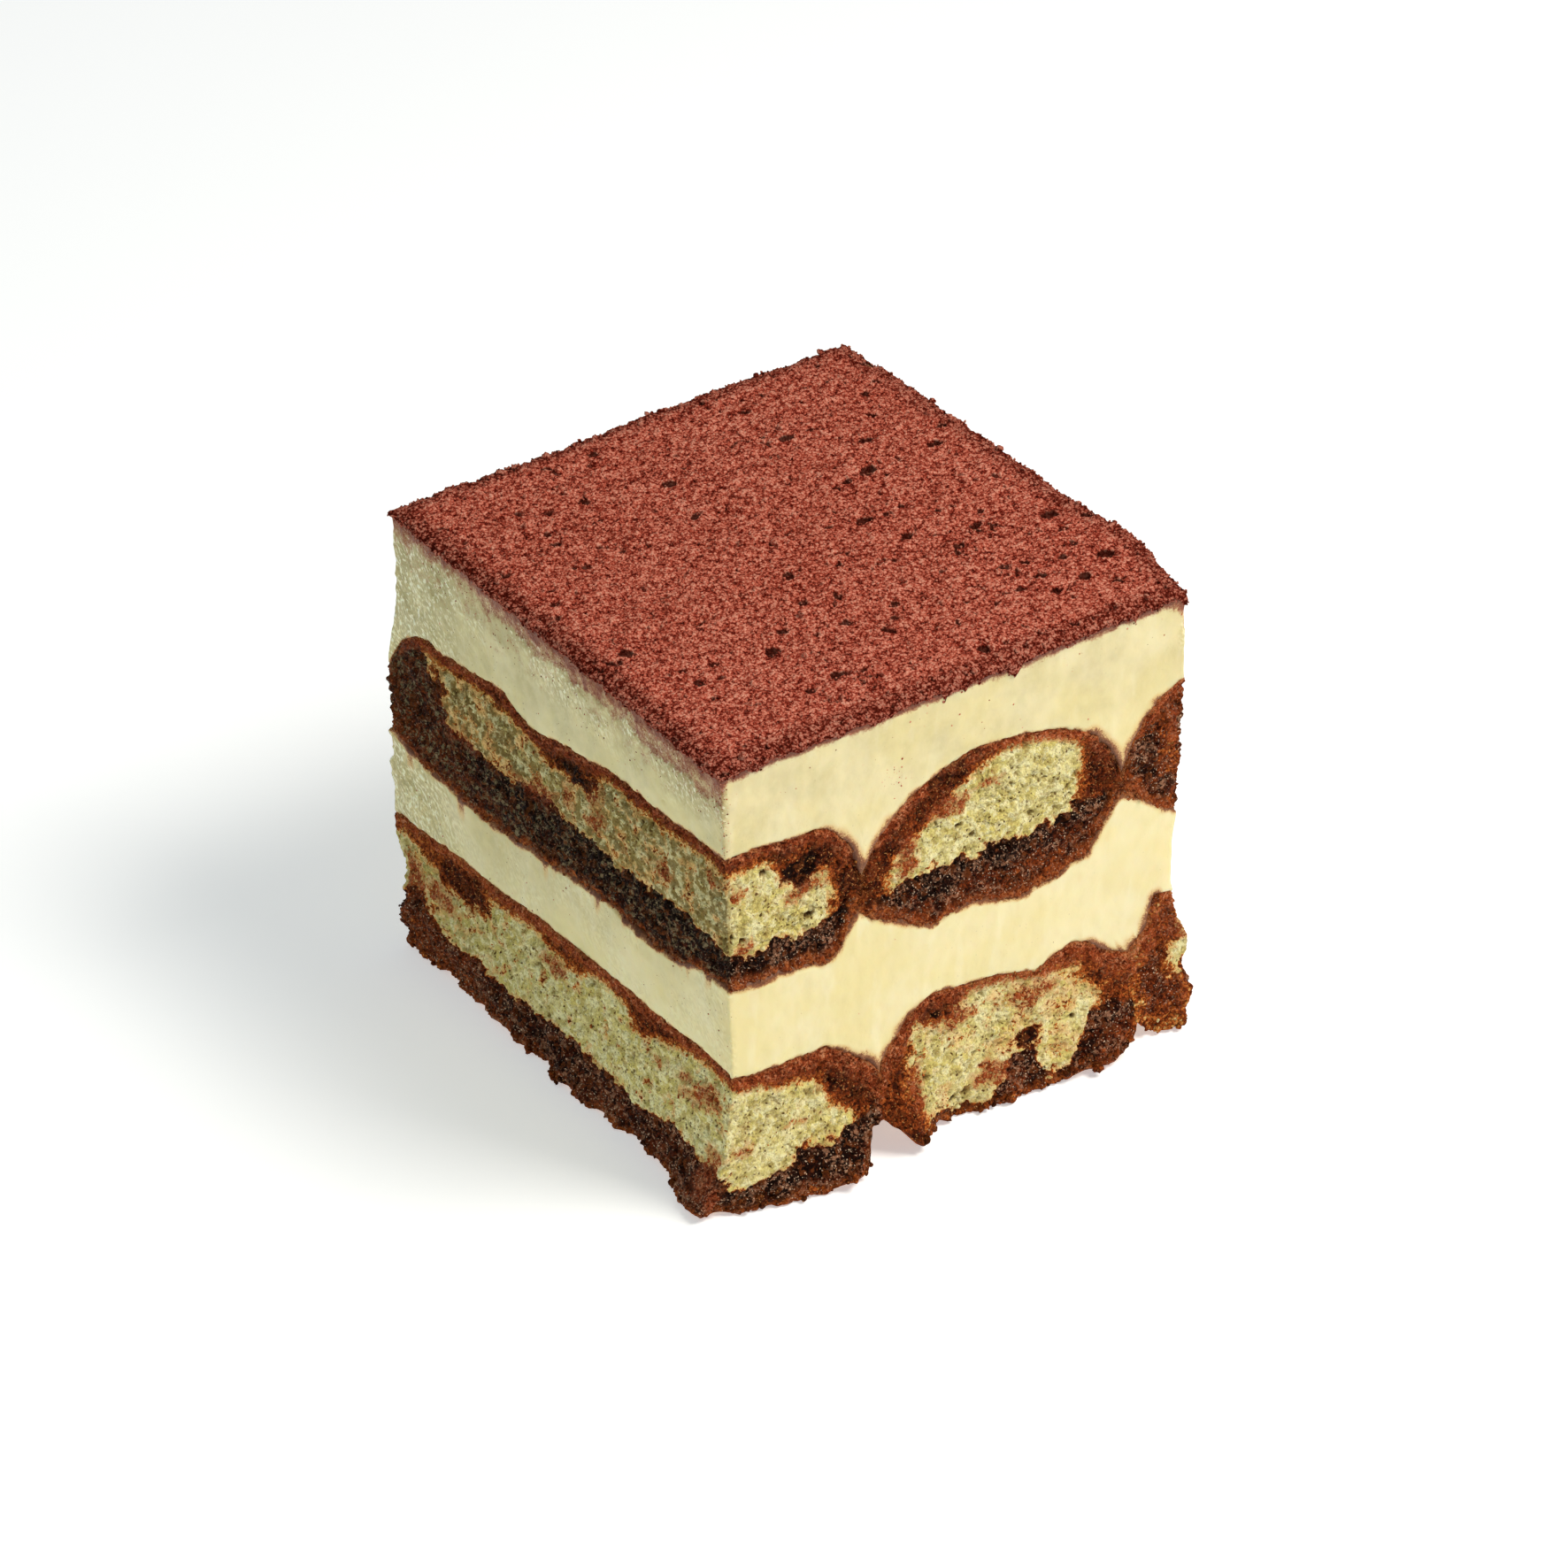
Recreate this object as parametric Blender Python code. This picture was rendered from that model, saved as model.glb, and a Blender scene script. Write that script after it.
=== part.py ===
"""Tiramisu portion: a square-cut block of two rows of coffee-soaked ladyfingers, two mascarpone cream layers and a cocoa top.

Frame: +Z up, origin at the middle of the footprint on the surface that the portion stands on.
The ladyfingers run along Y. The front (-Y) and back (+Y) faces cut across them, the left (-X) and right (+X) faces cut along them.
Sizes are in millimetres here and are scaled to metres when the meshes are made.
"""

import math

import bmesh
import bpy

MM = 0.001

# ---------------------------------------------------------------- the whole block
WIDTH = 58.0  # X, between the left and right cuts
DEPTH = 60.0  # Y, between the front and back cuts
HEIGHT = 56.0  # to the highest cocoa
COCOA = 1.35  # thickness of the cocoa layer
GAP = 0.3  # clearance between touching layers
BASE_SPREAD_X = 0.8  # the soaked bottom row bulges out at its foot
BASE_SPREAD_Y = 0.6
COCOA_RELIEF = 0.25  # rise and fall of the dusted top

HALF_W, HALF_D = WIDTH / 2, DEPTH / 2
CREAM_TOP_Z = HEIGHT - COCOA - GAP - COCOA_RELIEF

# Stations along the ladyfingers: closer together where an upper finger ends in its round tip.
Y_STATIONS = [-30.0, -23.0, -16.0, -9.0, -2.0, 5.0, 12.0, 19.0, 24.5, 27.5, 30.0]

# ---------------------------------------------------------------- the ladyfingers
# x0, x1: left and right side.  left, right: (low, high) ends of the flattened side where two fingers touch, or of the cut.
# crown: x and z of the highest line.  round_l, round_r: how square the shoulders are.  base: underside.  heel_l, heel_r: width of the lower rounding.
# top_dents and base_dents: soft hollows or bulges, each as (x, half width, rise).  n: stations across.
UPPER = {
    "ladyfinger_upper_left": dict(
        x0=-HALF_W, x1=-11.85, left=(28.2, 44.4), right=(31.4, 35.9), crown=(-24.5, 44.7), round_l=2.0, round_r=2.75, base=27.4, heel_l=3.0, heel_r=5.2, n=13,
        top_dents=[], base_dents=[(-16.8, 3.0, -0.7)],
    ),
    "ladyfinger_upper_middle": dict(
        x0=-11.55, x1=21.35, left=(31.2, 36.3), right=(33.0, 36.0), crown=(3.2, 46.4), round_l=1.62, round_r=1.95, base=26.3, heel_l=9.4, heel_r=5.6, n=21,
        top_dents=[(13.5, 4.0, -0.35)], base_dents=[(1.2, 4.4, 0.9), (8.6, 3.6, -0.6)],
    ),
    "ladyfinger_upper_right": dict(
        x0=21.65, x1=HALF_W, left=(33.1, 36.6), right=(28.6, 44.7), crown=(HALF_W, 44.7), round_l=1.7, round_r=2.0, base=28.6, heel_l=6.8, heel_r=1.0, n=10,
        top_dents=[], base_dents=[],
    ),
}
LOWER = {
    "ladyfinger_lower_left": dict(
        x0=-HALF_W, x1=-9.25, left=(0.0, 16.6), right=(4.4, 10.7), crown=(-24.0, 16.6), round_l=1.5, round_r=2.15, base=0.0, heel_l=0.5, heel_r=3.3, n=13,
        top_dents=[], base_dents=[],
    ),
    "ladyfinger_lower_middle": dict(
        x0=-8.95, x1=21.95, left=(4.3, 10.7), right=(3.1, 12.3), crown=(0.5, 17.6), round_l=1.9, round_r=2.7, base=0.0, heel_l=4.5, heel_r=3.4, n=21,
        top_dents=[(10.8, 6.4, -1.7)], base_dents=[],
    ),
    "ladyfinger_lower_right": dict(
        x0=22.25, x1=HALF_W, left=(3.1, 12.2), right=(0.0, 17.9), crown=(HALF_W, 17.9), round_l=1.15, round_r=2.0, base=0.0, heel_l=3.6, heel_r=0.5, n=10,
        top_dents=[], base_dents=[],
    ),
}
TIP_LENGTH = 4.5  # the upper left finger ends in a round tip just inside the back face
TIP_DROP = 5.0


def smooth(t):
    t = min(1.0, max(0.0, t))
    return t * t * (3 - 2 * t)


def along(points, y):
    """A smooth line through a few (y, value) stations."""
    if y <= points[0][0]:
        return points[0][1]
    for (ya, a), (yb, b) in zip(points, points[1:]):
        if y <= yb:
            return a + (b - a) * smooth((y - ya) / (yb - ya))
    return points[-1][1]


# How far each finger's crown and underside rise or sink along its length.
CROWN_LINE = {
    "ladyfinger_upper_left": [(-30, 0.0), (-12, -0.1), (2, -2.3), (10, -1.2), (19, -2.3), (30, -2.6)],
    "ladyfinger_upper_middle": [(-30, 0.0), (-8, -0.7), (8, -0.1), (22, -0.9), (30, -0.6)],
    "ladyfinger_upper_right": [(-30, 0.0), (-14, 0.5), (4, -0.8), (18, 0.2), (30, -0.5)],
    "ladyfinger_lower_left": [(-30, 0.3), (-14, 1.2), (2, 1.0), (14, 0.5), (30, -0.7)],
    "ladyfinger_lower_middle": [(-30, 0.0), (-10, 0.7), (6, -0.4), (20, 0.5), (30, 0.1)],
    "ladyfinger_lower_right": [(-30, 0.0), (-12, -0.8), (6, -0.2), (20, -1.1), (30, -0.6)],
}
BASE_LINE = {
    "ladyfinger_upper_left": [(-30, 0.4), (-14, -0.2), (2, -0.8), (14, -1.9), (24, -1.2), (30, 0.3)],
    "ladyfinger_upper_middle": [(-30, 0.0), (-6, -0.6), (12, 0.3), (30, -0.3)],
    "ladyfinger_upper_right": [(-30, 0.0), (-10, -0.7), (10, 0.2), (30, -0.4)],
}


def crown_profile(f, x):
    """The domed top of a finger as a share of the rise from its side to its crown."""
    cx = f["crown"][0]
    if x <= cx:
        span, power, side = cx - f["x0"], f["round_l"], f["left"][1]
        t = (x - f["x0"]) / span if span > 1e-6 else 1.0
    else:
        span, power, side = f["x1"] - cx, f["round_r"], f["right"][1]
        t = (f["x1"] - x) / span if span > 1e-6 else 1.0
    t = min(1.0, max(0.0, t))
    return side, (1 - (1 - t) ** power) ** (1 / power)


def dents(found, x):
    """Soft cosine hollows and bulges across a finger."""
    total = 0.0
    for middle, half, rise in found:
        t = abs(x - middle) / half
        if t < 1:
            total += rise * (0.5 + 0.5 * math.cos(math.pi * t))
    return total


def top_z(name, f, x, y):
    side, share = crown_profile(f, x)
    rise = along(CROWN_LINE[name], y)
    z = side + (f["crown"][1] + rise - side) * share + dents(f["top_dents"], x)
    if name == "ladyfinger_upper_left":
        z -= TIP_DROP * smooth((y - (HALF_D - TIP_LENGTH)) / TIP_LENGTH)
    return z


def base_z(name, f, x, y):
    sink = along(BASE_LINE[name], y) if name in BASE_LINE else 0.0
    low = f["base"] + sink
    heel = 0.0
    if x < f["x0"] + f["heel_l"]:
        heel = max(heel, (f["left"][0] - low) * (1 - (x - f["x0"]) / f["heel_l"]) ** 1.35)
    if x > f["x1"] - f["heel_r"]:
        heel = max(heel, (f["right"][0] - low) * (1 - (f["x1"] - x) / f["heel_r"]) ** 1.35)
    return low + heel + dents(f["base_dents"], x)


def x_stations(f):
    """Across a finger, closer together at its rounded sides."""
    n = f["n"]
    cut_left, cut_right = f["x0"] == -HALF_W, f["x1"] == HALF_W
    found = []
    for i in range(n):
        t = i / (n - 1)
        if cut_left:
            t = math.sin(t * math.pi / 2)
        elif cut_right:
            t = 1 - math.cos(t * math.pi / 2)
        else:
            t = (1 - math.cos(t * math.pi)) / 2
        found.append(f["x0"] + t * (f["x1"] - f["x0"]))
    return found


# ---------------------------------------------------------------- making solids
def material(name, rgb, roughness):
    made = bpy.data.materials.new(name)
    made.use_nodes = True
    shader = made.node_tree.nodes["Principled BSDF"]
    shader.inputs["Base Color"].default_value = (*rgb, 1.0)
    shader.inputs["Roughness"].default_value = roughness
    shader.inputs["Metallic"].default_value = 0.0
    return made


def slab(name, low, high, stations, finish, parent, angle=35):
    """A closed solid lofted along Y. low(y) and high(y) give the underside and top as equal lists of (x, y, z)."""
    bm = bmesh.new()
    rows = []
    for y in stations:
        lo = [bm.verts.new((x * MM, yy * MM, z * MM)) for x, yy, z in low(y)]
        hi = [bm.verts.new((x * MM, yy * MM, z * MM)) for x, yy, z in high(y)]
        rows.append((lo, hi))
    for (lo_a, hi_a), (lo_b, hi_b) in zip(rows, rows[1:]):
        for i in range(len(lo_a) - 1):
            bm.faces.new((hi_a[i], hi_a[i + 1], hi_b[i + 1], hi_b[i]))
            bm.faces.new((lo_a[i + 1], lo_a[i], lo_b[i], lo_b[i + 1]))
        bm.faces.new((lo_a[0], hi_a[0], hi_b[0], lo_b[0]))
        bm.faces.new((hi_a[-1], lo_a[-1], lo_b[-1], hi_b[-1]))
    for (lo, hi), turned in ((rows[0], False), (rows[-1], True)):
        for i in range(len(lo) - 1):
            face = (lo[i], lo[i + 1], hi[i + 1], hi[i])
            bm.faces.new(face[::-1] if turned else face)
    bmesh.ops.recalc_face_normals(bm, faces=bm.faces)
    bmesh.ops.triangulate(bm, faces=bm.faces)
    mesh = bpy.data.meshes.new(name)
    bm.to_mesh(mesh)
    bm.free()
    mesh.shade_smooth()
    mesh.set_sharp_from_angle(angle=math.radians(angle))
    made = bpy.data.objects.new(name, mesh)
    made.data.materials.append(finish)
    made.parent = parent
    bpy.context.scene.collection.objects.link(made)
    return made


def foot(x, y, z, top):
    """Spreads a point of the soaked bottom row outwards, most at the foot and nothing at the row's top."""
    share = smooth(1 - z / top)
    if abs(abs(x) - HALF_W) < 1e-6:
        x += math.copysign(BASE_SPREAD_X * share, x)
    if abs(abs(y) - HALF_D) < 1e-6:
        y += math.copysign(BASE_SPREAD_Y * share, y)
    return x, y, z


def ladyfinger(name, f, finish, parent, spread):
    def low(y):
        points = [(x, y, base_z(name, f, x, y)) for x in x_stations(f)]
        return [foot(*p, 12.0) for p in points] if spread else points

    def high(y):
        return [(x, y, top_z(name, f, x, y)) for x in x_stations(f)]

    return slab(name, low, high, Y_STATIONS, finish, parent)


def across(row, which, lift):
    """A line across a whole row of fingers, over their tops or under their bases, lifted clear of them."""

    def line(y):
        found = []
        for name, f in row.items():
            for x in x_stations(f):
                z = top_z(name, f, x, y) if which == "top" else base_z(name, f, x, y)
                found.append((x, y, z + lift))
        return found

    return line


def level(z, like):
    """A flat line at height z above the points of another line."""
    return lambda y: [(x, yy, z) for x, yy, _ in like(y)]


def cocoa_height(x, y):
    """The dusted top rolls gently and drops a little at the cut edges."""
    roll = 0.5 * math.sin(x * 0.19 + 1.1) * math.sin(y * 0.16 + 0.4) + 0.3 * math.sin(x * 0.43 - y * 0.31)
    edge = max(abs(x) / HALF_W, abs(y) / HALF_D) ** 14
    return HEIGHT - COCOA_RELIEF + COCOA_RELIEF * (roll - edge) * 0.9


def build():
    for obj in list(bpy.data.objects):
        bpy.data.objects.remove(obj)

    root = bpy.data.objects.new("portion", None)
    bpy.context.scene.collection.objects.link(root)

    cocoa = material("cocoa", (0.36, 0.082, 0.05), 0.95)
    cream = material("mascarpone_cream", (0.87, 0.74, 0.42), 0.42)
    sponge = material("soaked_ladyfinger", (0.42, 0.25, 0.12), 0.75)

    for name, f in LOWER.items():
        ladyfinger(name, f, sponge, root, spread=True)
    for name, f in UPPER.items():
        ladyfinger(name, f, sponge, root, spread=False)

    count = sum(f["n"] for f in UPPER.values())
    if count != sum(f["n"] for f in LOWER.values()):
        raise ValueError("both rows need the same number of stations")
    slab("cream_middle", across(LOWER, "top", GAP), across(UPPER, "base", -GAP), Y_STATIONS, cream, root)
    over = across(UPPER, "top", GAP)
    slab("cream_top", over, level(CREAM_TOP_Z, over), Y_STATIONS, cream, root)

    steps = 22
    xs = [-HALF_W + WIDTH * i / steps for i in range(steps + 1)]
    ys = [-HALF_D + DEPTH * i / steps for i in range(steps + 1)]
    slab(
        "cocoa_top",
        lambda y: [(x, y, HEIGHT - COCOA - COCOA_RELIEF) for x in xs],
        lambda y: [(x, y, cocoa_height(x, y)) for x in xs],
        ys,
        cocoa,
        root,
    )


build()
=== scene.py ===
"""Looks of the tiramisu portion: soaked ladyfingers, mascarpone cream, cocoa, crumbs and grains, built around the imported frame.

All shapes are worked out in millimetres with numpy and written as meshes in metres. Every value that looks random comes from a seeded hash of the position.
"""

import math
import time

import bpy
import numpy as np
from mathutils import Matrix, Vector
from mathutils.geometry import delaunay_2d_cdt


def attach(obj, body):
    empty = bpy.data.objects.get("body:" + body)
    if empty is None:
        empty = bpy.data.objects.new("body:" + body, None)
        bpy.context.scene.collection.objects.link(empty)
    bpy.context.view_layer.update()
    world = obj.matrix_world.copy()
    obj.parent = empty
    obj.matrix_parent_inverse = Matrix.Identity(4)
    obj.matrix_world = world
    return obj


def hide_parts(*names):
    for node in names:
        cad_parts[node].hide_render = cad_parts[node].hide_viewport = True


START = time.time()
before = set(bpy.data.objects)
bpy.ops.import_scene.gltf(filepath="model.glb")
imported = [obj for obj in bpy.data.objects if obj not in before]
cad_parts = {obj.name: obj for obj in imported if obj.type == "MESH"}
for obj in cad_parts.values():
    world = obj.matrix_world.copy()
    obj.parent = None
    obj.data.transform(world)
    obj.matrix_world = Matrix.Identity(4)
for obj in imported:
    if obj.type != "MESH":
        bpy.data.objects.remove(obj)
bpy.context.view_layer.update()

MM = 0.001
HALF_W, HALF_D, HEIGHT = 29.0, 30.0, 56.3
CREAM_TOP = 54.95
FINE = 0.2  # spacing of a sponge face's grid
FINE_CREAM = 0.31
FINE_COCOA = 0.225
LAP = 0.55  # how far cream and finger reach into each other


# ---------------------------------------------------------------- numbers
def smooth(a, b, v):
    t = np.clip((v - a) / (b - a), 0.0, 1.0)
    return t * t * (3 - 2 * t)


def mix(a, b, t):
    return a + (b - a) * t


def line(*stations):
    """A smooth curve through a few stations (monotone between them), held level past its ends."""
    x = np.array([s[0] for s in stations], float)
    y = np.array([s[1] for s in stations], float)
    h, d = np.diff(x), np.diff(y) / np.diff(x)
    m = np.zeros(len(x))
    for i in range(1, len(x) - 1):
        if d[i - 1] * d[i] > 0:
            w1, w2 = 2 * h[i] + h[i - 1], h[i] + 2 * h[i - 1]
            m[i] = (w1 + w2) / (w1 / d[i - 1] + w2 / d[i])
    m[0], m[-1] = d[0], d[-1]
    tx = np.linspace(x[0], x[-1], 900)
    k = np.clip(np.searchsorted(x, tx) - 1, 0, len(x) - 2)
    t = (tx - x[k]) / h[k]
    ty = (
        (2 * t**3 - 3 * t**2 + 1) * y[k]
        + (t**3 - 2 * t**2 + t) * h[k] * m[k]
        + (-2 * t**3 + 3 * t**2) * y[k + 1]
        + (t**3 - t**2) * h[k] * m[k + 1]
    )
    return lambda v: np.interp(v, tx, ty)


GRADIENTS = np.random.default_rng(11).normal(size=(256, 3))
GRADIENTS = (GRADIENTS / np.linalg.norm(GRADIENTS, axis=1)[:, None]).astype(np.float32)


def hashed(ix, iy, iz, seed):
    with np.errstate(over="ignore"):
        h = (
            ix.astype(np.uint32) * np.uint32(0x8DA6B343)
            ^ iy.astype(np.uint32) * np.uint32(0xD8163841)
            ^ iz.astype(np.uint32) * np.uint32(0xCB1AB31F)
            ^ np.uint32((seed * 0x27D4EB2F) & 0xFFFFFFFF)
        )
        h ^= h >> np.uint32(15)
        h *= np.uint32(0x2C1B3C6D)
        h ^= h >> np.uint32(12)
        h *= np.uint32(0x297A2D39)
        h ^= h >> np.uint32(15)
    return h


def perlin(p, size, seed):
    """Gradient noise at points p (mm), about -1 to 1, with bumps about size apart."""
    q = p / size + 137.31 + seed * 7.77
    cell = np.floor(q)
    f = (q - cell).astype(np.float32)
    cell = cell.astype(np.int64)
    u = f * f * f * (f * (f * 6 - 15) + 10)
    total = np.zeros(len(p), np.float32)
    for dx in (0, 1):
        wx = u[:, 0] if dx else 1 - u[:, 0]
        for dy in (0, 1):
            wy = wx * (u[:, 1] if dy else 1 - u[:, 1])
            for dz in (0, 1):
                w = wy * (u[:, 2] if dz else 1 - u[:, 2])
                g = GRADIENTS[hashed(cell[:, 0] + dx, cell[:, 1] + dy, cell[:, 2] + dz, seed) & np.uint32(255)]
                total += w * (g[:, 0] * (f[:, 0] - dx) + g[:, 1] * (f[:, 1] - dy) + g[:, 2] * (f[:, 2] - dz))
    return total * 1.7


def fbm(p, size, octaves, seed, gain=0.5):
    total, weight, norm = 0.0, 1.0, 0.0
    for i in range(octaves):
        total = total + perlin(p, size / 2.03**i, seed + i * 17) * weight
        norm += weight
        weight *= gain
    return total / norm


def pores(p, size, seed, least=0.1, most=0.5, share=1.0):
    """Depth of round pores cut at a surface: spheres of varied size scattered in space, as a part of their own radius (0 outside a pore), and that radius in mm."""
    q = p / size + 61.7 + seed * 3.3
    cell = np.floor(q).astype(np.int64)
    f = (q - cell).astype(np.float32)
    depth = np.zeros(len(p), np.float32)
    radius = np.zeros(len(p), np.float32)
    for dx in (-1, 0, 1):
        for dy in (-1, 0, 1):
            for dz in (-1, 0, 1):
                h = hashed(cell[:, 0] + dx, cell[:, 1] + dy, cell[:, 2] + dz, seed)
                rx = (h & np.uint32(1023)).astype(np.float32) / 1023
                ry = ((h >> np.uint32(10)) & np.uint32(1023)).astype(np.float32) / 1023
                rz = ((h >> np.uint32(20)) & np.uint32(1023)).astype(np.float32) / 1023
                pick = ((h * np.uint32(2654435761)) >> np.uint32(22)).astype(np.float32) / 1023
                r = least + (most - least) * (rx * ry + 0.15) ** 0.8
                r = np.where(pick < share, r, 0.01)
                d2 = (f[:, 0] - dx - rx) ** 2 + (f[:, 1] - dy - ry) ** 2 + (f[:, 2] - dz - rz) ** 2
                here = np.sqrt(np.clip(r * r - d2, 0, None))
                closer = here > depth
                depth = np.where(closer, here, depth)
                radius = np.where(closer, r, radius)
    return depth * size, radius * size


def granules(p, size, seed):
    """Cells of irregular grains: distance to the nearest centre and to the second nearest (parts of size), and a number from 0 to 1 that each grain has to itself."""
    q = p / size + 23.9 + seed * 5.1
    cell = np.floor(q).astype(np.int64)
    f = (q - cell).astype(np.float32)
    one = np.full(len(p), 9.0, np.float32)
    two = np.full(len(p), 9.0, np.float32)
    own = np.zeros(len(p), np.float32)
    for dx in (-1, 0, 1):
        for dy in (-1, 0, 1):
            for dz in (-1, 0, 1):
                h = hashed(cell[:, 0] + dx, cell[:, 1] + dy, cell[:, 2] + dz, seed)
                rx = (h & np.uint32(1023)).astype(np.float32) / 1023
                ry = ((h >> np.uint32(10)) & np.uint32(1023)).astype(np.float32) / 1023
                rz = ((h >> np.uint32(20)) & np.uint32(1023)).astype(np.float32) / 1023
                pick = ((h * np.uint32(2654435761)) >> np.uint32(22)).astype(np.float32) / 1023
                d2 = (f[:, 0] - dx - rx) ** 2 + (f[:, 1] - dy - ry) ** 2 + (f[:, 2] - dz - rz) ** 2
                nearer = d2 < one
                two = np.where(nearer, one, np.minimum(two, d2))
                own = np.where(nearer, pick, own)
                one = np.where(nearer, d2, one)
    return np.sqrt(one), np.sqrt(two), own


# ---------------------------------------------------------------- the block's own outline
RIGHT_SIDE = line((0, 1.6), (1.5, 2.0), (3.4, 2.7), (4.9, 2.8), (7, 2.3), (8.5, 1.9), (10, 2.5), (12, 2.1), (14, 1.0), (17, 0.1), (20, -0.5), (24, -0.3), (28, 0.2), (31.4, 0.4), (35.4, 0.6), (40.5, 0.6), (44.6, 0.4), (50, 0.1), (56, 0))
BACK_SIDE = line((0, 0.1), (2.9, 0.3), (5, 0), (7, -0.9), (10, -1), (12, -0.3), (14.1, 1.4), (16, 1.8), (20.2, 1.5), (22.2, 1.9), (25, 1.2), (29.3, 1), (32.4, 1.8), (36, 2), (42.5, 0.5), (48, -0.4), (52.7, -0.2), (56, 0))
LEFT_SIDE = line((0, 0.8), (4, 0.5), (8, -0.2), (12, -0.8), (16, -1.4), (20, -1.3), (26, -0.8), (34, -0.6), (44, -0.4), (56, 0))
FRONT_SIDE = line((0, 0.7), (5, 0.4), (9, 0), (14, -0.2), (24, 0), (40, 0.1), (56, 0))
# how far the soaked foot has spread, along the front and along the left
FOOT_FRONT = line((-29, -1.6), (-27.3, -1.6), (-24, -0.3), (-20.8, 0.8), (-17.6, 1.4), (-14.3, 2.7), (-12.0, 1.9), (-8.8, 0.8), (-6.3, 2.5), (-4.2, 1.4), (-1.4, -0.5), (1.9, -1.1), (5.1, -0.3), (11.6, 0), (14.8, 0.6), (18.1, 1.3), (21.3, 1.0), (24.6, -1.2), (29, 0.2))
FOOT_LEFT = line((-30, 1.6), (-27.6, 1.6), (-22.4, 0.3), (-17.2, -0.3), (-12, -0.6), (-6.9, 0.2), (-1.7, 0.6), (3.5, -0.6), (8.7, 0.2), (13.9, -0.2), (19.1, -1.1), (24.3, -1.0), (30, -1.3))

BACK_LEFT_EDGE = line((0, 0.6), (4, 1.0), (8, 0.9), (12, 0.3), (20, 0.3), (26, 0.5), (29, 0.8), (33, 0.3), (44, 0), (56, 0))


def shaped(q):
    """Bends the plain block into the cut one: sides that lean and bulge, and a foot that spreads."""
    p = q.astype(float).copy()
    x, y, z = q[:, 0], q[:, 1], q[:, 2]
    right = smooth(0.3, 1.0, x / HALF_W)
    left = smooth(0.3, 1.0, -x / HALF_W)
    back = smooth(0.3, 1.0, y / HALF_D)
    front = smooth(0.3, 1.0, -y / HALF_D)
    at = np.stack([x, y, z * 0.8], 1)
    sway = fbm(at, 17.0, 2, 5) * 0.35
    p[:, 0] += right * (RIGHT_SIDE(z) * (0.75 - 0.25 * y / HALF_D) + sway)
    near_corner = 0.35 + 0.65 * smooth(-5, -30, y)
    p[:, 0] -= left * (LEFT_SIDE(z) * near_corner + sway * 0.5)
    p[:, 1] += back * (BACK_SIDE(z) * (0.65 - 0.35 * x / HALF_W) + sway)
    p[:, 1] -= front * (FRONT_SIDE(z) + sway * 0.5)
    foot = smooth(7.5, 0.5, z)
    p[:, 1] -= front * foot * FOOT_FRONT(x)
    p[:, 0] -= left * foot * FOOT_LEFT(y)
    p[:, 0] += right * (np.cos(y * math.pi / 60) * 0.9 + 1.5 * np.exp(-(((y + 19) / 6.5) ** 2))) * smooth(38, 54, z)
    p[:, 0] -= left * back * BACK_LEFT_EDGE(z)
    return p


def sides(q):
    """How much each vertical cut (left, right, front, back) owns a point: 1 on the cut and 0 from 0.9 mm inside."""
    reach = 0.9
    return (
        1 - np.clip((q[:, 0] + HALF_W) / reach, 0, 1),
        1 - np.clip((HALF_W - q[:, 0]) / reach, 0, 1),
        1 - np.clip((q[:, 1] + HALF_D) / reach, 0, 1),
        1 - np.clip((HALF_D - q[:, 1]) / reach, 0, 1),
    )


def outward(q):
    left, right, front, back = sides(q)
    n = np.stack([right - left, back - front, np.zeros(len(q))], 1)
    size = np.linalg.norm(n, axis=1)
    own = np.clip(np.maximum.reduce([left, right, front, back]), 0, 1)
    return n / np.maximum(size, 1e-6)[:, None], own, np.clip(size, 0, 1)


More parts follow.
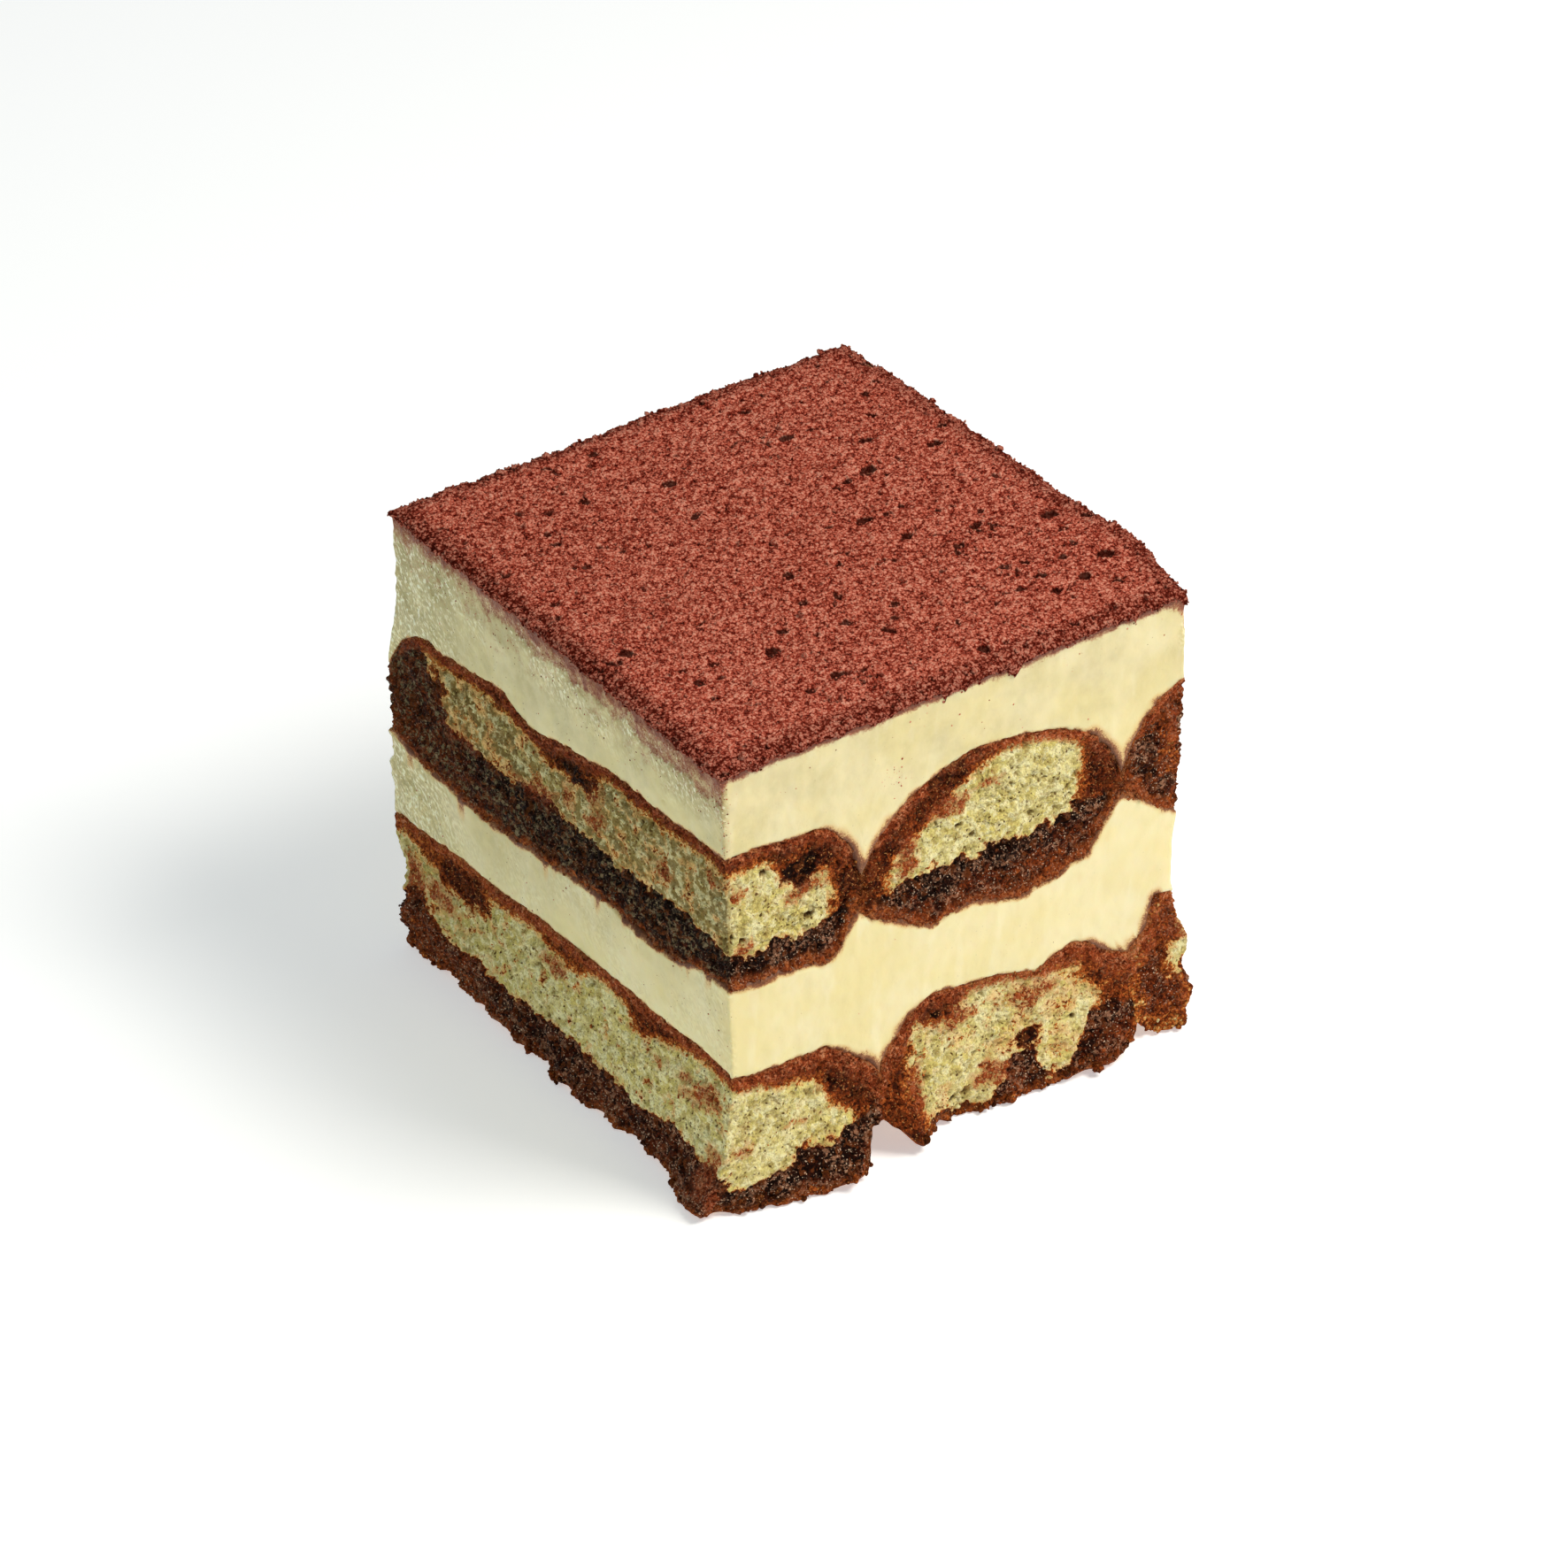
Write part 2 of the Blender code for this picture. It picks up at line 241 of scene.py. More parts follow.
# ---------------------------------------------------------------- outlines of the ladyfingers
# Each finger: its sides, the line of its top and underside across the front, and how both drift from front to back.
FINGERS = {
    "ladyfinger_upper_left": dict(
        x0=-29.0, x1=-11.6,
        top=line((-29, 44.7), (-25, 44.8), (-20, 44.3), (-17.6, 44.2), (-16.2, 43.7), (-15, 42.6), (-13.6, 41.1), (-12.6, 39.4), (-11.9, 37.4), (-11.6, 35.9)),
        base=line((-29, 28.3), (-26.5, 27.7), (-22, 27.6), (-18.5, 27.3), (-16.8, 26.7), (-15.6, 26.8), (-14.5, 28), (-13.5, 29.8), (-12.2, 31.2), (-11.6, 31.6)),
        top_drift=line((-30, 0.1), (-20, 0), (-10, 0), (-5, -1), (0, -1.8), (4.5, -2.7), (7, -2.1), (10, -1.0), (15, -1.8), (20, -2.4), (25, -2.9), (28, -5.0), (29.4, -8.0), (30, -9.0)),
        base_drift=line((-30, 0.6), (-25, 0.4), (-20, -0.9), (-15, -1.1), (-10, -0.7), (0, -1.3), (5, -2), (10, -2.7), (15, -3), (20, -2.5), (25, -1.9), (30, -0.2)),
    ),
    "ladyfinger_upper_middle": dict(
        x0=-11.8, x1=21.6,
        top=line((-11.8, 35.2), (-11.3, 36.9), (-10.5, 38.6), (-9, 40.7), (-7, 42.4), (-5, 43.8), (-3, 44.8), (-1, 45.5), (1, 46.1), (3.4, 46.4), (6, 46.2), (9, 45.8), (12, 45.1), (14, 44.3), (16, 43.3), (17.5, 42.2), (19, 40.4), (20.2, 38.4), (21, 36.6), (21.6, 35.0)),
        base=line((-11.8, 31.6), (-10, 30.5), (-8, 29.3), (-5.5, 28), (-4, 27.2), (-2.5, 26.6), (-1, 26.9), (1, 27.3), (4, 26.9), (6, 26.3), (8.5, 25.6), (11, 26.2), (13, 26.3), (15, 27.1), (17, 27.6), (18.2, 29), (19.5, 31.2), (20.6, 32.6), (21.6, 33.5)),
        top_drift=line((-30, 0), (-8, -0.7), (8, -0.1), (22, -0.9), (30, -0.6)),
        base_drift=line((-30, 0), (-6, -0.6), (12, 0.3), (30, -0.3)),
    ),
    "ladyfinger_upper_right": dict(
        x0=21.3, x1=29.0,
        top=line((21.3, 35.4), (21.8, 37.4), (22.6, 39.5), (23.6, 41), (25, 42.5), (26.5, 43.7), (28, 44.4), (29, 44.7)),
        base=line((21.3, 33.4), (23, 32.4), (24, 31.8), (25, 31), (26.5, 29.8), (28, 29), (29, 28.6)),
        top_drift=line((-30, 0), (-14, 0.5), (4, -0.8), (18, 0.2), (30, -0.5)),
        base_drift=line((-30, 0), (-10, -0.7), (10, 0.2), (30, -0.4)),
    ),
    "ladyfinger_lower_left": dict(
        x0=-29.0, x1=-9.0,
        top=line((-29, 16.9), (-26, 16.3), (-21, 16.1), (-18, 15.9), (-16.5, 16.0), (-15, 15.3), (-13.5, 14.3), (-12, 13.1), (-10.5, 11.9), (-9.6, 11.0), (-9.0, 9.8)),
        base=line((-29, 0), (-12.6, 0), (-11.9, 0.4), (-11.5, 1.6), (-11.1, 3.0), (-10.4, 4.2), (-9.0, 5.0)),
        top_drift=line((-30, 0.4), (-25, 1.2), (-20, 0.9), (-10, 1.5), (0, 1.3), (10, 0.5), (20, 0.2), (30, -0.5)),
        base_drift=line((-30, 0), (30, 0)),
    ),
    "ladyfinger_lower_middle": dict(
        x0=-9.25, x1=22.3,
        top=line((-9.25, 9.6), (-8.8, 11), (-8, 12.4), (-6.5, 14.2), (-5, 16), (-3.5, 17.1), (-2, 17.6), (0, 17.4), (2, 16.9), (5, 16.6), (7, 16.3), (9, 15.6), (11, 15.1), (12, 15.3), (13.5, 16.1), (15, 16.5), (16.5, 16.3), (18, 15.5), (19.5, 14.1), (21, 12.8), (22.3, 11.6)),
        base=line((-9.25, 5.0), (-8.4, 4.1), (-7, 2.7), (-6, 1.3), (-4.7, 0), (19.3, 0), (20.6, 0.7), (21.5, 1.9), (22.3, 3.4)),
        top_drift=line((-30, 0), (-10, 0.7), (6, -0.4), (20, 0.5), (30, 0.1)),
        base_drift=line((-30, 0), (30, 0)),
    ),
    "ladyfinger_lower_right": dict(
        x0=21.9, x1=29.0,
        top=line((21.9, 11.4), (22.5, 12.5), (24, 13.5), (25.4, 14.8), (26.2, 17.0), (26.9, 18.4), (28, 18.3), (29, 17.9)),
        base=line((21.9, 3.6), (22.6, 2.8), (24, 1.7), (25.6, 0.3), (26.2, 0), (29, 0)),
        top_drift=line((-30, 0), (-12, -0.8), (6, -0.2), (20, -1.1), (30, -0.6)),
        base_drift=line((-30, 0), (30, 0)),
    ),
}
UPPER = [n for n in FINGERS if "upper" in n]
LOWER = [n for n in FINGERS if "lower" in n]


def wobble(x, y, seed, size=8.0, rise=0.35):
    """A slow rise and fall along a finger that starts at nothing on the front cut, whose outline is set by its stations."""
    at = np.stack([x, y, np.zeros_like(x)], 1)
    return fbm(at, size, 2, seed) * rise * smooth(-30, -26, y)


def finger_top(name, x, y):
    f = FINGERS[name]
    seed = 31 + 7 * list(FINGERS).index(name)
    edge = smooth(f["x0"], f["x0"] + 2, x) if f["x0"] > -29 else 1.0
    edge = edge * (smooth(f["x1"], f["x1"] - 2, x) if f["x1"] < 29 else 1.0)
    return f["top"](x) + f["top_drift"](y) * (0.25 + 0.75 * edge) + wobble(x, y, seed)


def finger_base(name, x, y):
    f = FINGERS[name]
    seed = 57 + 7 * list(FINGERS).index(name)
    z = f["base"](x) + f["base_drift"](y)
    if name in UPPER:
        z = z + wobble(x, y, seed)
    return z


def row_line(names, which, x, y):
    """Top or underside of a whole row of fingers: the highest top or the lowest underside at each point."""
    pick = finger_top if which == "top" else finger_base
    found = None
    for name in names:
        f = FINGERS[name]
        inside = (x >= f["x0"] - 1e-6) & (x <= f["x1"] + 1e-6)
        z = np.where(inside, pick(name, np.clip(x, f["x0"], f["x1"]), y), np.nan)
        found = z if found is None else (np.fmax(found, z) if which == "top" else np.fmin(found, z))
    return found


# ---------------------------------------------------------------- closed meshes with box-like panels
def stations(a, b, spacing):
    return np.linspace(a, b, max(2, int(round((b - a) / spacing)) + 1))


def coarse(a, b):
    """Few stations along a hidden edge, closer together near its ends."""
    near = np.array([0.0, 0.25, 0.7, 1.5, 3.0, 6.0])
    middle = np.linspace(a + 12, b - 12, 6)
    return np.concatenate([a + near, middle, (b - near)[::-1]])


def fill(outline, spacing, inner):
    """Triangles over a rectangle whose outline points are given in order. inner: extra points inside it. Returns faces into outline + inner."""
    points = [Vector((float(a), float(b))) for a, b in outline] + [Vector((float(a), float(b))) for a, b in inner]
    n = len(outline)
    edges = [(i, (i + 1) % n) for i in range(n)]
    verts, _, faces, origin, _, _ = delaunay_2d_cdt(points, edges, [], 1, 1e-6)
    if len(verts) != len(points):
        raise ValueError(f"filling a panel made {len(verts)} points from {len(points)}")
    back = [ids[0] for ids in origin]
    return np.array([[back[i] for i in face] for face in faces], np.int64)


class Shell:
    """A closed mesh of six panels, its points given as a across, y along and t from underside (0) to top (1). place is
    not used.
    """

    def __init__(self, a, t, y_left, y_right, place, top_grid=False):
        self.place = place
        self.param, self.uv_tris = [], []
        self.count = 0
        na, nt, yl, yr = len(a), len(t), y_left, y_right
        y0, y1 = yl[0], yl[-1]
        front = self.add(*np.meshgrid(a, [y0], t, indexing="ij")).reshape(na, nt)
        back = self.add(*np.meshgrid(a, [y1], t, indexing="ij")).reshape(na, nt)
        left = np.empty((len(yl), nt), np.int64)
        left[0], left[-1] = front[0], back[0]
        left[1:-1] = self.add(*np.meshgrid([a[0]], yl[1:-1], t, indexing="ij")).reshape(-1, nt)
        right = np.empty((len(yr), nt), np.int64)
        right[0], right[-1] = front[-1], back[-1]
        right[1:-1] = self.add(*np.meshgrid([a[-1]], yr[1:-1], t, indexing="ij")).reshape(-1, nt)
        self.tris, self.panels = [], []
        self.grid(front, "front")
        self.grid(back[::-1], "back")
        self.grid(left[::-1], "left")
        self.grid(right, "right")
        for k, name in ((0, "bottom"), (-1, "top")):
            if name == "top" and top_grid:
                top = np.empty((na, len(yl)), np.int64)
                top[0], top[-1] = left[:, k], right[:, k]
                top[:, 0], top[:, -1] = front[:, k], back[:, k]
                top[1:-1, 1:-1] = self.add(*np.meshgrid(a[1:-1], yl[1:-1], [t[k]], indexing="ij")).reshape(na - 2, -1)
                self.grid(top, "top")
                continue
            ring = np.concatenate([front[:, k], right[1:-1, k], back[::-1, k], left[1:-1, k][::-1]])
            known = np.concatenate(self.param)[ring][:, :2]
            inner = self.sparse(a, yl, yr)
            ids = np.concatenate([ring, self.add(inner[:, 0], inner[:, 1], np.full(len(inner), t[k]))])
            faces = ids[fill(known, 1.0, inner)]
            if name == "bottom":
                faces = faces[:, ::-1]
            self.tris.append(faces)
            self.panels.append((name, len(faces)))
        self.param = np.concatenate(self.param)
        self.tris = np.concatenate(self.tris)

    @staticmethod
    def sparse(a, yl, yr):
        """Inner points of a hidden panel: a few rows near its dense edges, and a wide grid elsewhere."""
        a0, a1, y0, y1 = a[0], a[-1], yl[0], yl[-1]
        step_a = a[1] - a[0]
        found = []
        for inset in (0.45, 1.2, 2.6, 5.0):
            step = max(inset, 2.2 * step_a)
            if a1 - a0 < 2.4 * inset:
                continue
            xs = np.arange(a0 + inset, a1 - inset + 1e-9, step)
            for y in (y0 + inset, y1 - inset):
                found += [(x, y) for x in xs]
            for x, ys in ((a0 + inset, yl), (a1 - inset, yr)):
                if len(ys) > 40:
                    found += [(x, y) for y in np.arange(y0 + inset + step, y1 - inset - step * 0.5, step)]
        wide = np.linspace(a0, a1, max(3, int((a1 - a0) / 4) + 1))[1:-1]
        deep = np.arange(y0 + 8.6, y1 - 8.5, 5.0)
        keep = 6.2 if len(yl) > 40 or len(yr) > 40 else 0
        for x in wide:
            if len(yl) > 40 and x < a0 + keep:
                continue
            if len(yr) > 40 and x > a1 - keep:
                continue
            found += [(x, y) for y in deep]
        found = np.array(sorted(set((round(float(x), 4), round(float(y), 4)) for x, y in found)))
        inside = (found[:, 0] > a0 + 0.1) & (found[:, 0] < a1 - 0.1) & (found[:, 1] > y0 + 0.1) & (found[:, 1] < y1 - 0.1)
        return found[inside]

    def add(self, a, y, t):
        a, y, t = np.ravel(a), np.ravel(y), np.ravel(t)
        self.param.append(np.stack([a, y, t], 1))
        first = self.count
        self.count += len(a)
        return np.arange(first, self.count)

    def grid(self, ids, name):
        p, q, r, s = ids[:-1, :-1].ravel(), ids[1:, :-1].ravel(), ids[1:, 1:].ravel(), ids[:-1, 1:].ravel()
        turn = (np.add.outer(np.arange(ids.shape[0] - 1), np.arange(ids.shape[1] - 1)).ravel() % 2).astype(bool)
        one = np.where(turn[:, None], np.stack([p, q, r], 1), np.stack([p, q, s], 1))
        two = np.where(turn[:, None], np.stack([p, r, s], 1), np.stack([q, r, s], 1))
        self.tris.append(np.stack([one, two], 1).reshape(-1, 3))
        self.panels.append((name, 2 * len(p)))


PIECES = []
HOSTS = []  # surfaces that crumbs, grains and specks lie on


def uv_of(shell):
    """One rectangle of the texture square for each panel, in rows, at one scale for the whole piece."""
    param = shell.param
    wide = {}
    a0, a1 = param[:, 0].min(), param[:, 0].max()
    z = shell.unit[:, 2]
    tall = z.max() - z.min()
    for name, _ in shell.panels:
        w = (a1 - a0) if name not in ("left", "right") else 2 * HALF_D
        wide[name] = (w, tall if name not in ("top", "bottom") else 2 * HALF_D)
    order = sorted(wide, key=lambda n: -wide[n][1])
    gap = 0.6

    def lay(width):
        x = y = row = 0.0
        spots = {}
        for name in order:
            w, h = wide[name]
            if x + w > width and x > 0:
                x, y, row = 0.0, y + row + gap, 0.0
            spots[name] = (x, y)
            x += w + gap
            row = max(row, h)
        return y + row, spots

    best = min((max(width, lay(width)[0]), width) for width in np.arange(max(w for w, _ in wide.values()), 400, 2.0))
    size, spots = best[0] + 2 * gap, lay(best[1])[1]
    out = np.zeros((len(shell.tris), 3, 2), np.float32)
    first = 0
    low = z.min()
    for name, n in shell.panels:
        ids = shell.tris[first : first + n]
        x0, y0 = spots[name]
        if name in ("front", "back"):
            u, v = param[ids, 0] - a0, z[ids] - low
        elif name in ("left", "right"):
            u, v = param[ids, 1] + HALF_D, z[ids] - low
        else:
            u, v = param[ids, 0] - a0, param[ids, 1] + HALF_D
        if name in ("back", "left", "bottom"):
            u = u.max() - u
        out[first : first + n, :, 0] = (u + x0 + gap) / size
        out[first : first + n, :, 1] = (v + y0 + gap) / size
        first += n
    return out


def make_mesh(name, points, tris, uv=None, fields=None, material=None):
    """A mesh object from points in mm and triangles, with float fields as attributes."""
    mesh = bpy.data.meshes.new(name)
    mesh.vertices.add(len(points))
    mesh.vertices.foreach_set("co", (points * MM).astype(np.float32).ravel())
    mesh.loops.add(len(tris) * 3)
    mesh.loops.foreach_set("vertex_index", tris.astype(np.int32).ravel())
    mesh.polygons.add(len(tris))
    mesh.polygons.foreach_set("loop_start", np.arange(0, len(tris) * 3, 3, dtype=np.int32))
    mesh.update(calc_edges=True)
    mesh.validate()
    mesh.shade_smooth()
    if uv is not None:
        layer = mesh.uv_layers.new(name="OFBake")
        layer.data.foreach_set("uv", uv.astype(np.float32).ravel())
    for key, values in (fields or {}).items():
        layer = mesh.attributes.new(key, "FLOAT_COLOR", "POINT")
        rgba = np.ones((len(points), 4), np.float32)
        rgba[:, : values.shape[1]] = values
        layer.data.foreach_set("color", rgba.ravel())
    made = bpy.data.objects.new(name, mesh)
    bpy.context.scene.collection.objects.link(made)
    if material is not None:
        mesh.materials.append(material)
    PIECES.append(made)
    return made


# ---------------------------------------------------------------- materials
class Look:
    """A node material built up in code. Sizes of noise are in millimetres on the object."""

    def __init__(self, name):
        self.material = bpy.data.materials.new(name)
        self.material.use_nodes = True
        self.tree = self.material.node_tree
        self.shader = self.tree.nodes["Principled BSDF"]
        coords = self.add("ShaderNodeTexCoord")
        scale = self.add("ShaderNodeVectorMath", operation="SCALE")
        self.tree.links.new(coords.outputs["Object"], scale.inputs[0])
        scale.inputs["Scale"].default_value = 1000.0
        self.mm = scale.outputs[0]

    def add(self, kind, **settings):
        node = self.tree.nodes.new(kind)
        for key, value in settings.items():
            setattr(node, key, value)
        return node

    def put(self, socket, value):
        if isinstance(value, bpy.types.NodeSocket):
            self.tree.links.new(value, socket)
        elif isinstance(value, tuple) and len(value) == 3 and socket.type == "RGBA":
            socket.default_value = (*value, 1.0)
        else:
            socket.default_value = value

    def field(self, name):
        """The four channels of a stored field."""
        node = self.add("ShaderNodeAttribute", attribute_type="GEOMETRY", attribute_name=name)
        split = self.add("ShaderNodeSeparateColor")
        self.put(split.inputs[0], node.outputs["Color"])
        return split.outputs[0], split.outputs[1], split.outputs[2], node.outputs["Alpha"]

    def where(self, shift=0.0, stretch=(1.0, 1.0, 1.0)):
        node = self.add("ShaderNodeMapping")
        self.put(node.inputs["Vector"], self.mm)
        node.inputs["Location"].default_value = (shift * 13.1, shift * -7.7, shift * 5.3)
        node.inputs["Scale"].default_value = stretch
        return node.outputs[0]

    def noise(self, size, detail=2.0, seed=0.0, rough=0.55, stretch=(1.0, 1.0, 1.0)):
        node = self.add("ShaderNodeTexNoise", noise_dimensions="3D")
        self.put(node.inputs["Vector"], self.where(seed, stretch))
        node.inputs["Scale"].default_value = 1.0 / size
        node.inputs["Detail"].default_value = detail
        node.inputs["Roughness"].default_value = rough
        return node.outputs[0]

    def cells(self, size, seed=0.0, at=None):
        """Irregular grains about size apart: distance from the nearest centre, and a number each grain has to itself."""
        node = self.add("ShaderNodeTexVoronoi", feature="F1")
        self.put(node.inputs["Vector"], self.where(seed) if at is None else self.shifted(at, seed))
        node.inputs["Scale"].default_value = 1.0 / size
        split = self.add("ShaderNodeSeparateColor")
        self.put(split.inputs[0], node.outputs["Color"])
        return node.outputs["Distance"], split.outputs[0]

    def shifted(self, at, seed):
        node = self.add("ShaderNodeVectorMath", operation="ADD")
        self.put(node.inputs[0], at)
        node.inputs[1].default_value = (seed * 13.1, seed * -7.7, seed * 5.3)
        return node.outputs[0]

    def raked(self, size, along):
        """Short slanting strokes, as a blade leaves them: noise drawn out along (-0.6, 0.5, 0.6)."""
        node = self.add("ShaderNodeMapping", vector_type="POINT")
        self.put(node.inputs["Vector"], self.mm)
        node.inputs["Rotation"].default_value = (math.radians(38), math.radians(38), 0)
        squeeze = self.add("ShaderNodeVectorMath", operation="MULTIPLY")
        self.put(squeeze.inputs[0], node.outputs[0])
        squeeze.inputs[1].default_value = (1.0, 1.0, along)
        noise = self.add("ShaderNodeTexNoise", noise_dimensions="3D")
        self.put(noise.inputs["Vector"], squeeze.outputs[0])
        noise.inputs["Scale"].default_value = 1.0 / size
        noise.inputs["Detail"].default_value = 2.0
        return noise.outputs[0]

    def bent(self, size, by, seed=0.0):
        """Coordinates pushed about by a noise of this size, so that what is drawn with them is irregular."""
        node = self.add("ShaderNodeTexNoise", noise_dimensions="3D")
        self.put(node.inputs["Vector"], self.where(seed))
        node.inputs["Scale"].default_value = 1.0 / size
        node.inputs["Detail"].default_value = 1.0
        centred = self.add("ShaderNodeVectorMath", operation="SUBTRACT")
        self.put(centred.inputs[0], node.outputs["Color"])
        centred.inputs[1].default_value = (0.5, 0.5, 0.5)
        scaled = self.add("ShaderNodeVectorMath", operation="SCALE")
        self.put(scaled.inputs[0], centred.outputs[0])
        scaled.inputs["Scale"].default_value = by * 2
        moved = self.add("ShaderNodeVectorMath", operation="ADD")
        self.put(moved.inputs[0], self.mm)
        self.put(moved.inputs[1], scaled.outputs[0])
        return moved.outputs[0]

    def math(self, operation, a, b=0.0, clamp=False):
        node = self.add("ShaderNodeMath", operation=operation, use_clamp=clamp)
        self.put(node.inputs[0], a)
        self.put(node.inputs[1], b)
        return node.outputs[0]

    def fit(self, value, low, high, to_low=0.0, to_high=1.0, smooth_it=True):
        node = self.add("ShaderNodeMapRange", interpolation_type="SMOOTHSTEP" if smooth_it else "LINEAR")
        self.put(node.inputs["Value"], value)
        for key, v in (("From Min", low), ("From Max", high), ("To Min", to_low), ("To Max", to_high)):
            node.inputs[key].default_value = v
        return node.outputs[0]

    def mix(self, share, a, b, blend="MIX"):
        node = self.add("ShaderNodeMix", data_type="RGBA", blend_type=blend)
        self.put(node.inputs[0], share)
        self.put(node.inputs[6], a)
        self.put(node.inputs[7], b)
        return node.outputs[2]

    def ramp(self, value, *stops):
        node = self.add("ShaderNodeValToRGB")
        self.put(node.inputs[0], value)
        ramp = node.color_ramp
        while len(ramp.elements) > 1:
            ramp.elements.remove(ramp.elements[-1])
        for i, (at, colour) in enumerate(stops):
            element = ramp.elements[0] if i == 0 else ramp.elements.new(at)
            element.position = at
            element.color = (*colour, 1.0)
        return node.outputs[0]

    def bump(self, height, depth, normal=None):
        node = self.add("ShaderNodeBump")
        self.put(node.inputs["Height"], height)
        node.inputs["Distance"].default_value = depth * MM
        node.inputs["Strength"].default_value = 1.0
        if normal is not None:
            self.put(node.inputs["Normal"], normal)
        return node.outputs[0]

    def set(self, **values):
        names = {"color": "Base Color", "rough": "Roughness", "normal": "Normal", "sss": "Subsurface Weight", "sss_radius": "Subsurface Radius", "sss_scale": "Subsurface Scale", "coat": "Coat Weight", "coat_rough": "Coat Roughness", "spec": "Specular IOR Level", "sheen": "Sheen Weight", "sheen_rough": "Sheen Roughness", "sheen_tint": "Sheen Tint", "glow": "Emission Color", "glow_strength": "Emission Strength"}
        for key, value in values.items():
            self.put(self.shader.inputs[names[key]], value)
        return self.material


def srgb(r, g, b):
    """Display colour (0 to 255) to the linear value that nodes take."""
    return tuple((c / 255 / 12.92) if c / 255 <= 0.04045 else ((c / 255 + 0.055) / 1.055) ** 2.4 for c in (r, g, b))


def sponge_material():
    look = Look("soaked_sponge")
    soak, crust, pore_shade, rim = look.field("state")
    thin, side_shade, banded, reached = look.field("more")
    torn = look.bent(0.7, 0.3, 12.0)
    big, big_own = look.cells(0.66, 1.0, torn)
    small, small_own = look.cells(0.29, 2.0, torn)
    speck = look.noise(0.3, 2.0, 1.0, 0.6)
    fine = look.noise(0.14, 1.0, 2.0)
    blotch = look.noise(3.4, 3.0, 3.0)
    clump = look.noise(1.0, 3.0, 4.0, 0.6)
    # dry crumb: pale walls, yellow-green and olive patches, painted shade in the gaps between the grains
    olive = look.noise(1.5, 3.0, 14.0, 0.6)
    dry = look.mix(look.fit(blotch, 0.42, 0.58), srgb(242, 228, 158), srgb(230, 212, 124))
    dry = look.mix(look.fit(clump, 0.46, 0.56, 0.0, 0.85), dry, srgb(251, 242, 188))
    dry = look.mix(look.fit(olive, 0.48, 0.64, 0.0, 0.85), dry, srgb(198, 180, 104))
    dry = look.mix(look.fit(look.noise(0.6, 2.0, 17.0, 0.5), 0.55, 0.7, 0.0, 0.6), dry, srgb(158, 128, 66))
    dry = look.mix(look.fit(small_own, 0.6, 1.0, 0.0, 0.25), dry, srgb(206, 182, 116))
    dry = look.mix(look.fit(small, 0.55, 0.8, 0.0, 0.4), dry, srgb(150, 118, 62))
    dry = look.mix(look.fit(fine, 0.56, 0.72, 0.0, 0.3), dry, srgb(253, 245, 196))
    # painted shade: dark pores and pinholes drawn in the colour, standing in for the shadow inside holes
    hole = look.math("MULTIPLY", look.fit(big, 0.3, 0.14), look.fit(big_own, 0.8, 0.88))
    dry = look.mix(look.math("MULTIPLY", hole, 0.7), dry, srgb(96, 66, 32))
    pin, pin_own = look.cells(0.5, 21.0, torn)
    pin_own = look.math("ADD", pin_own, look.math("MULTIPLY", look.math("SUBTRACT", olive, 0.5), 2.6))
    pin_own = look.math("ADD", pin_own, look.math("MULTIPLY", side_shade, 0.16))
    hole = look.math("MULTIPLY", look.fit(pin, 0.4, 0.2), look.fit(pin_own, 0.68, 0.84))
    dry = look.mix(look.math("MULTIPLY", hole, 0.9), dry, srgb(76, 38, 12))
    # painted shade: the dry crumb on the shaded left cut darker and olive
    dry = look.mix(look.math("MULTIPLY", side_shade, look.fit(clump, 0.58, 0.46, 0.35, 0.92)), dry, srgb(112, 86, 46))
    # painted shade in the pores and hollows of the relief
    dry = look.mix(look.fit(pore_shade, 0.15, 0.6, 0.0, 0.7), dry, srgb(146, 118, 60))
    dry = look.mix(look.fit(pore_shade, 0.45, 0.95, 0.0, 0.95), dry, srgb(62, 32, 10))
    dry = look.mix(look.fit(look.math("ADD", reached, look.math("MULTIPLY", look.math("SUBTRACT", clump, 0.5), look.fit(reached, 0.0, 0.2, 0.0, 0.6))), 0.04, 0.36, 0.0, 0.75), dry, srgb(236, 186, 116))
    # soaked crumb: through ochre and brown to nearly black, grain by grain
    vary = look.math("MULTIPLY", look.math("SUBTRACT", speck, 0.5), 0.9)
    vary = look.math("ADD", vary, look.math("MULTIPLY", look.math("SUBTRACT", clump, 0.5), 0.9))
    vary = look.math("ADD", vary, look.math("MULTIPLY", look.math("SUBTRACT", small_own, 0.5), 0.4))
    level = look.math("ADD", soak, look.math("MULTIPLY", vary, look.fit(soak, 0.3, 0.9, 0.8, 0.5)), clamp=True)
    wet = look.ramp(level, (0.0, srgb(240, 214, 150)), (0.14, srgb(228, 174, 100)), (0.28, srgb(208, 120, 54)), (0.42, srgb(170, 82, 34)), (0.56, srgb(128, 56, 22)), (0.72, srgb(84, 31, 10)), (0.88, srgb(44, 14, 4)), (1.0, srgb(20, 6, 2)))
    wet = look.mix(look.math("MULTIPLY", look.fit(big_own, 0.62, 0.85), look.fit(level, 0.5, 0.8, 0.0, 0.5)), wet, srgb(138, 72, 34))
    # painted shade in the gaps between the soaked grains
    wet = look.mix(look.fit(small, 0.5, 0.74, 0.0, 0.7), wet, srgb(24, 6, 2))
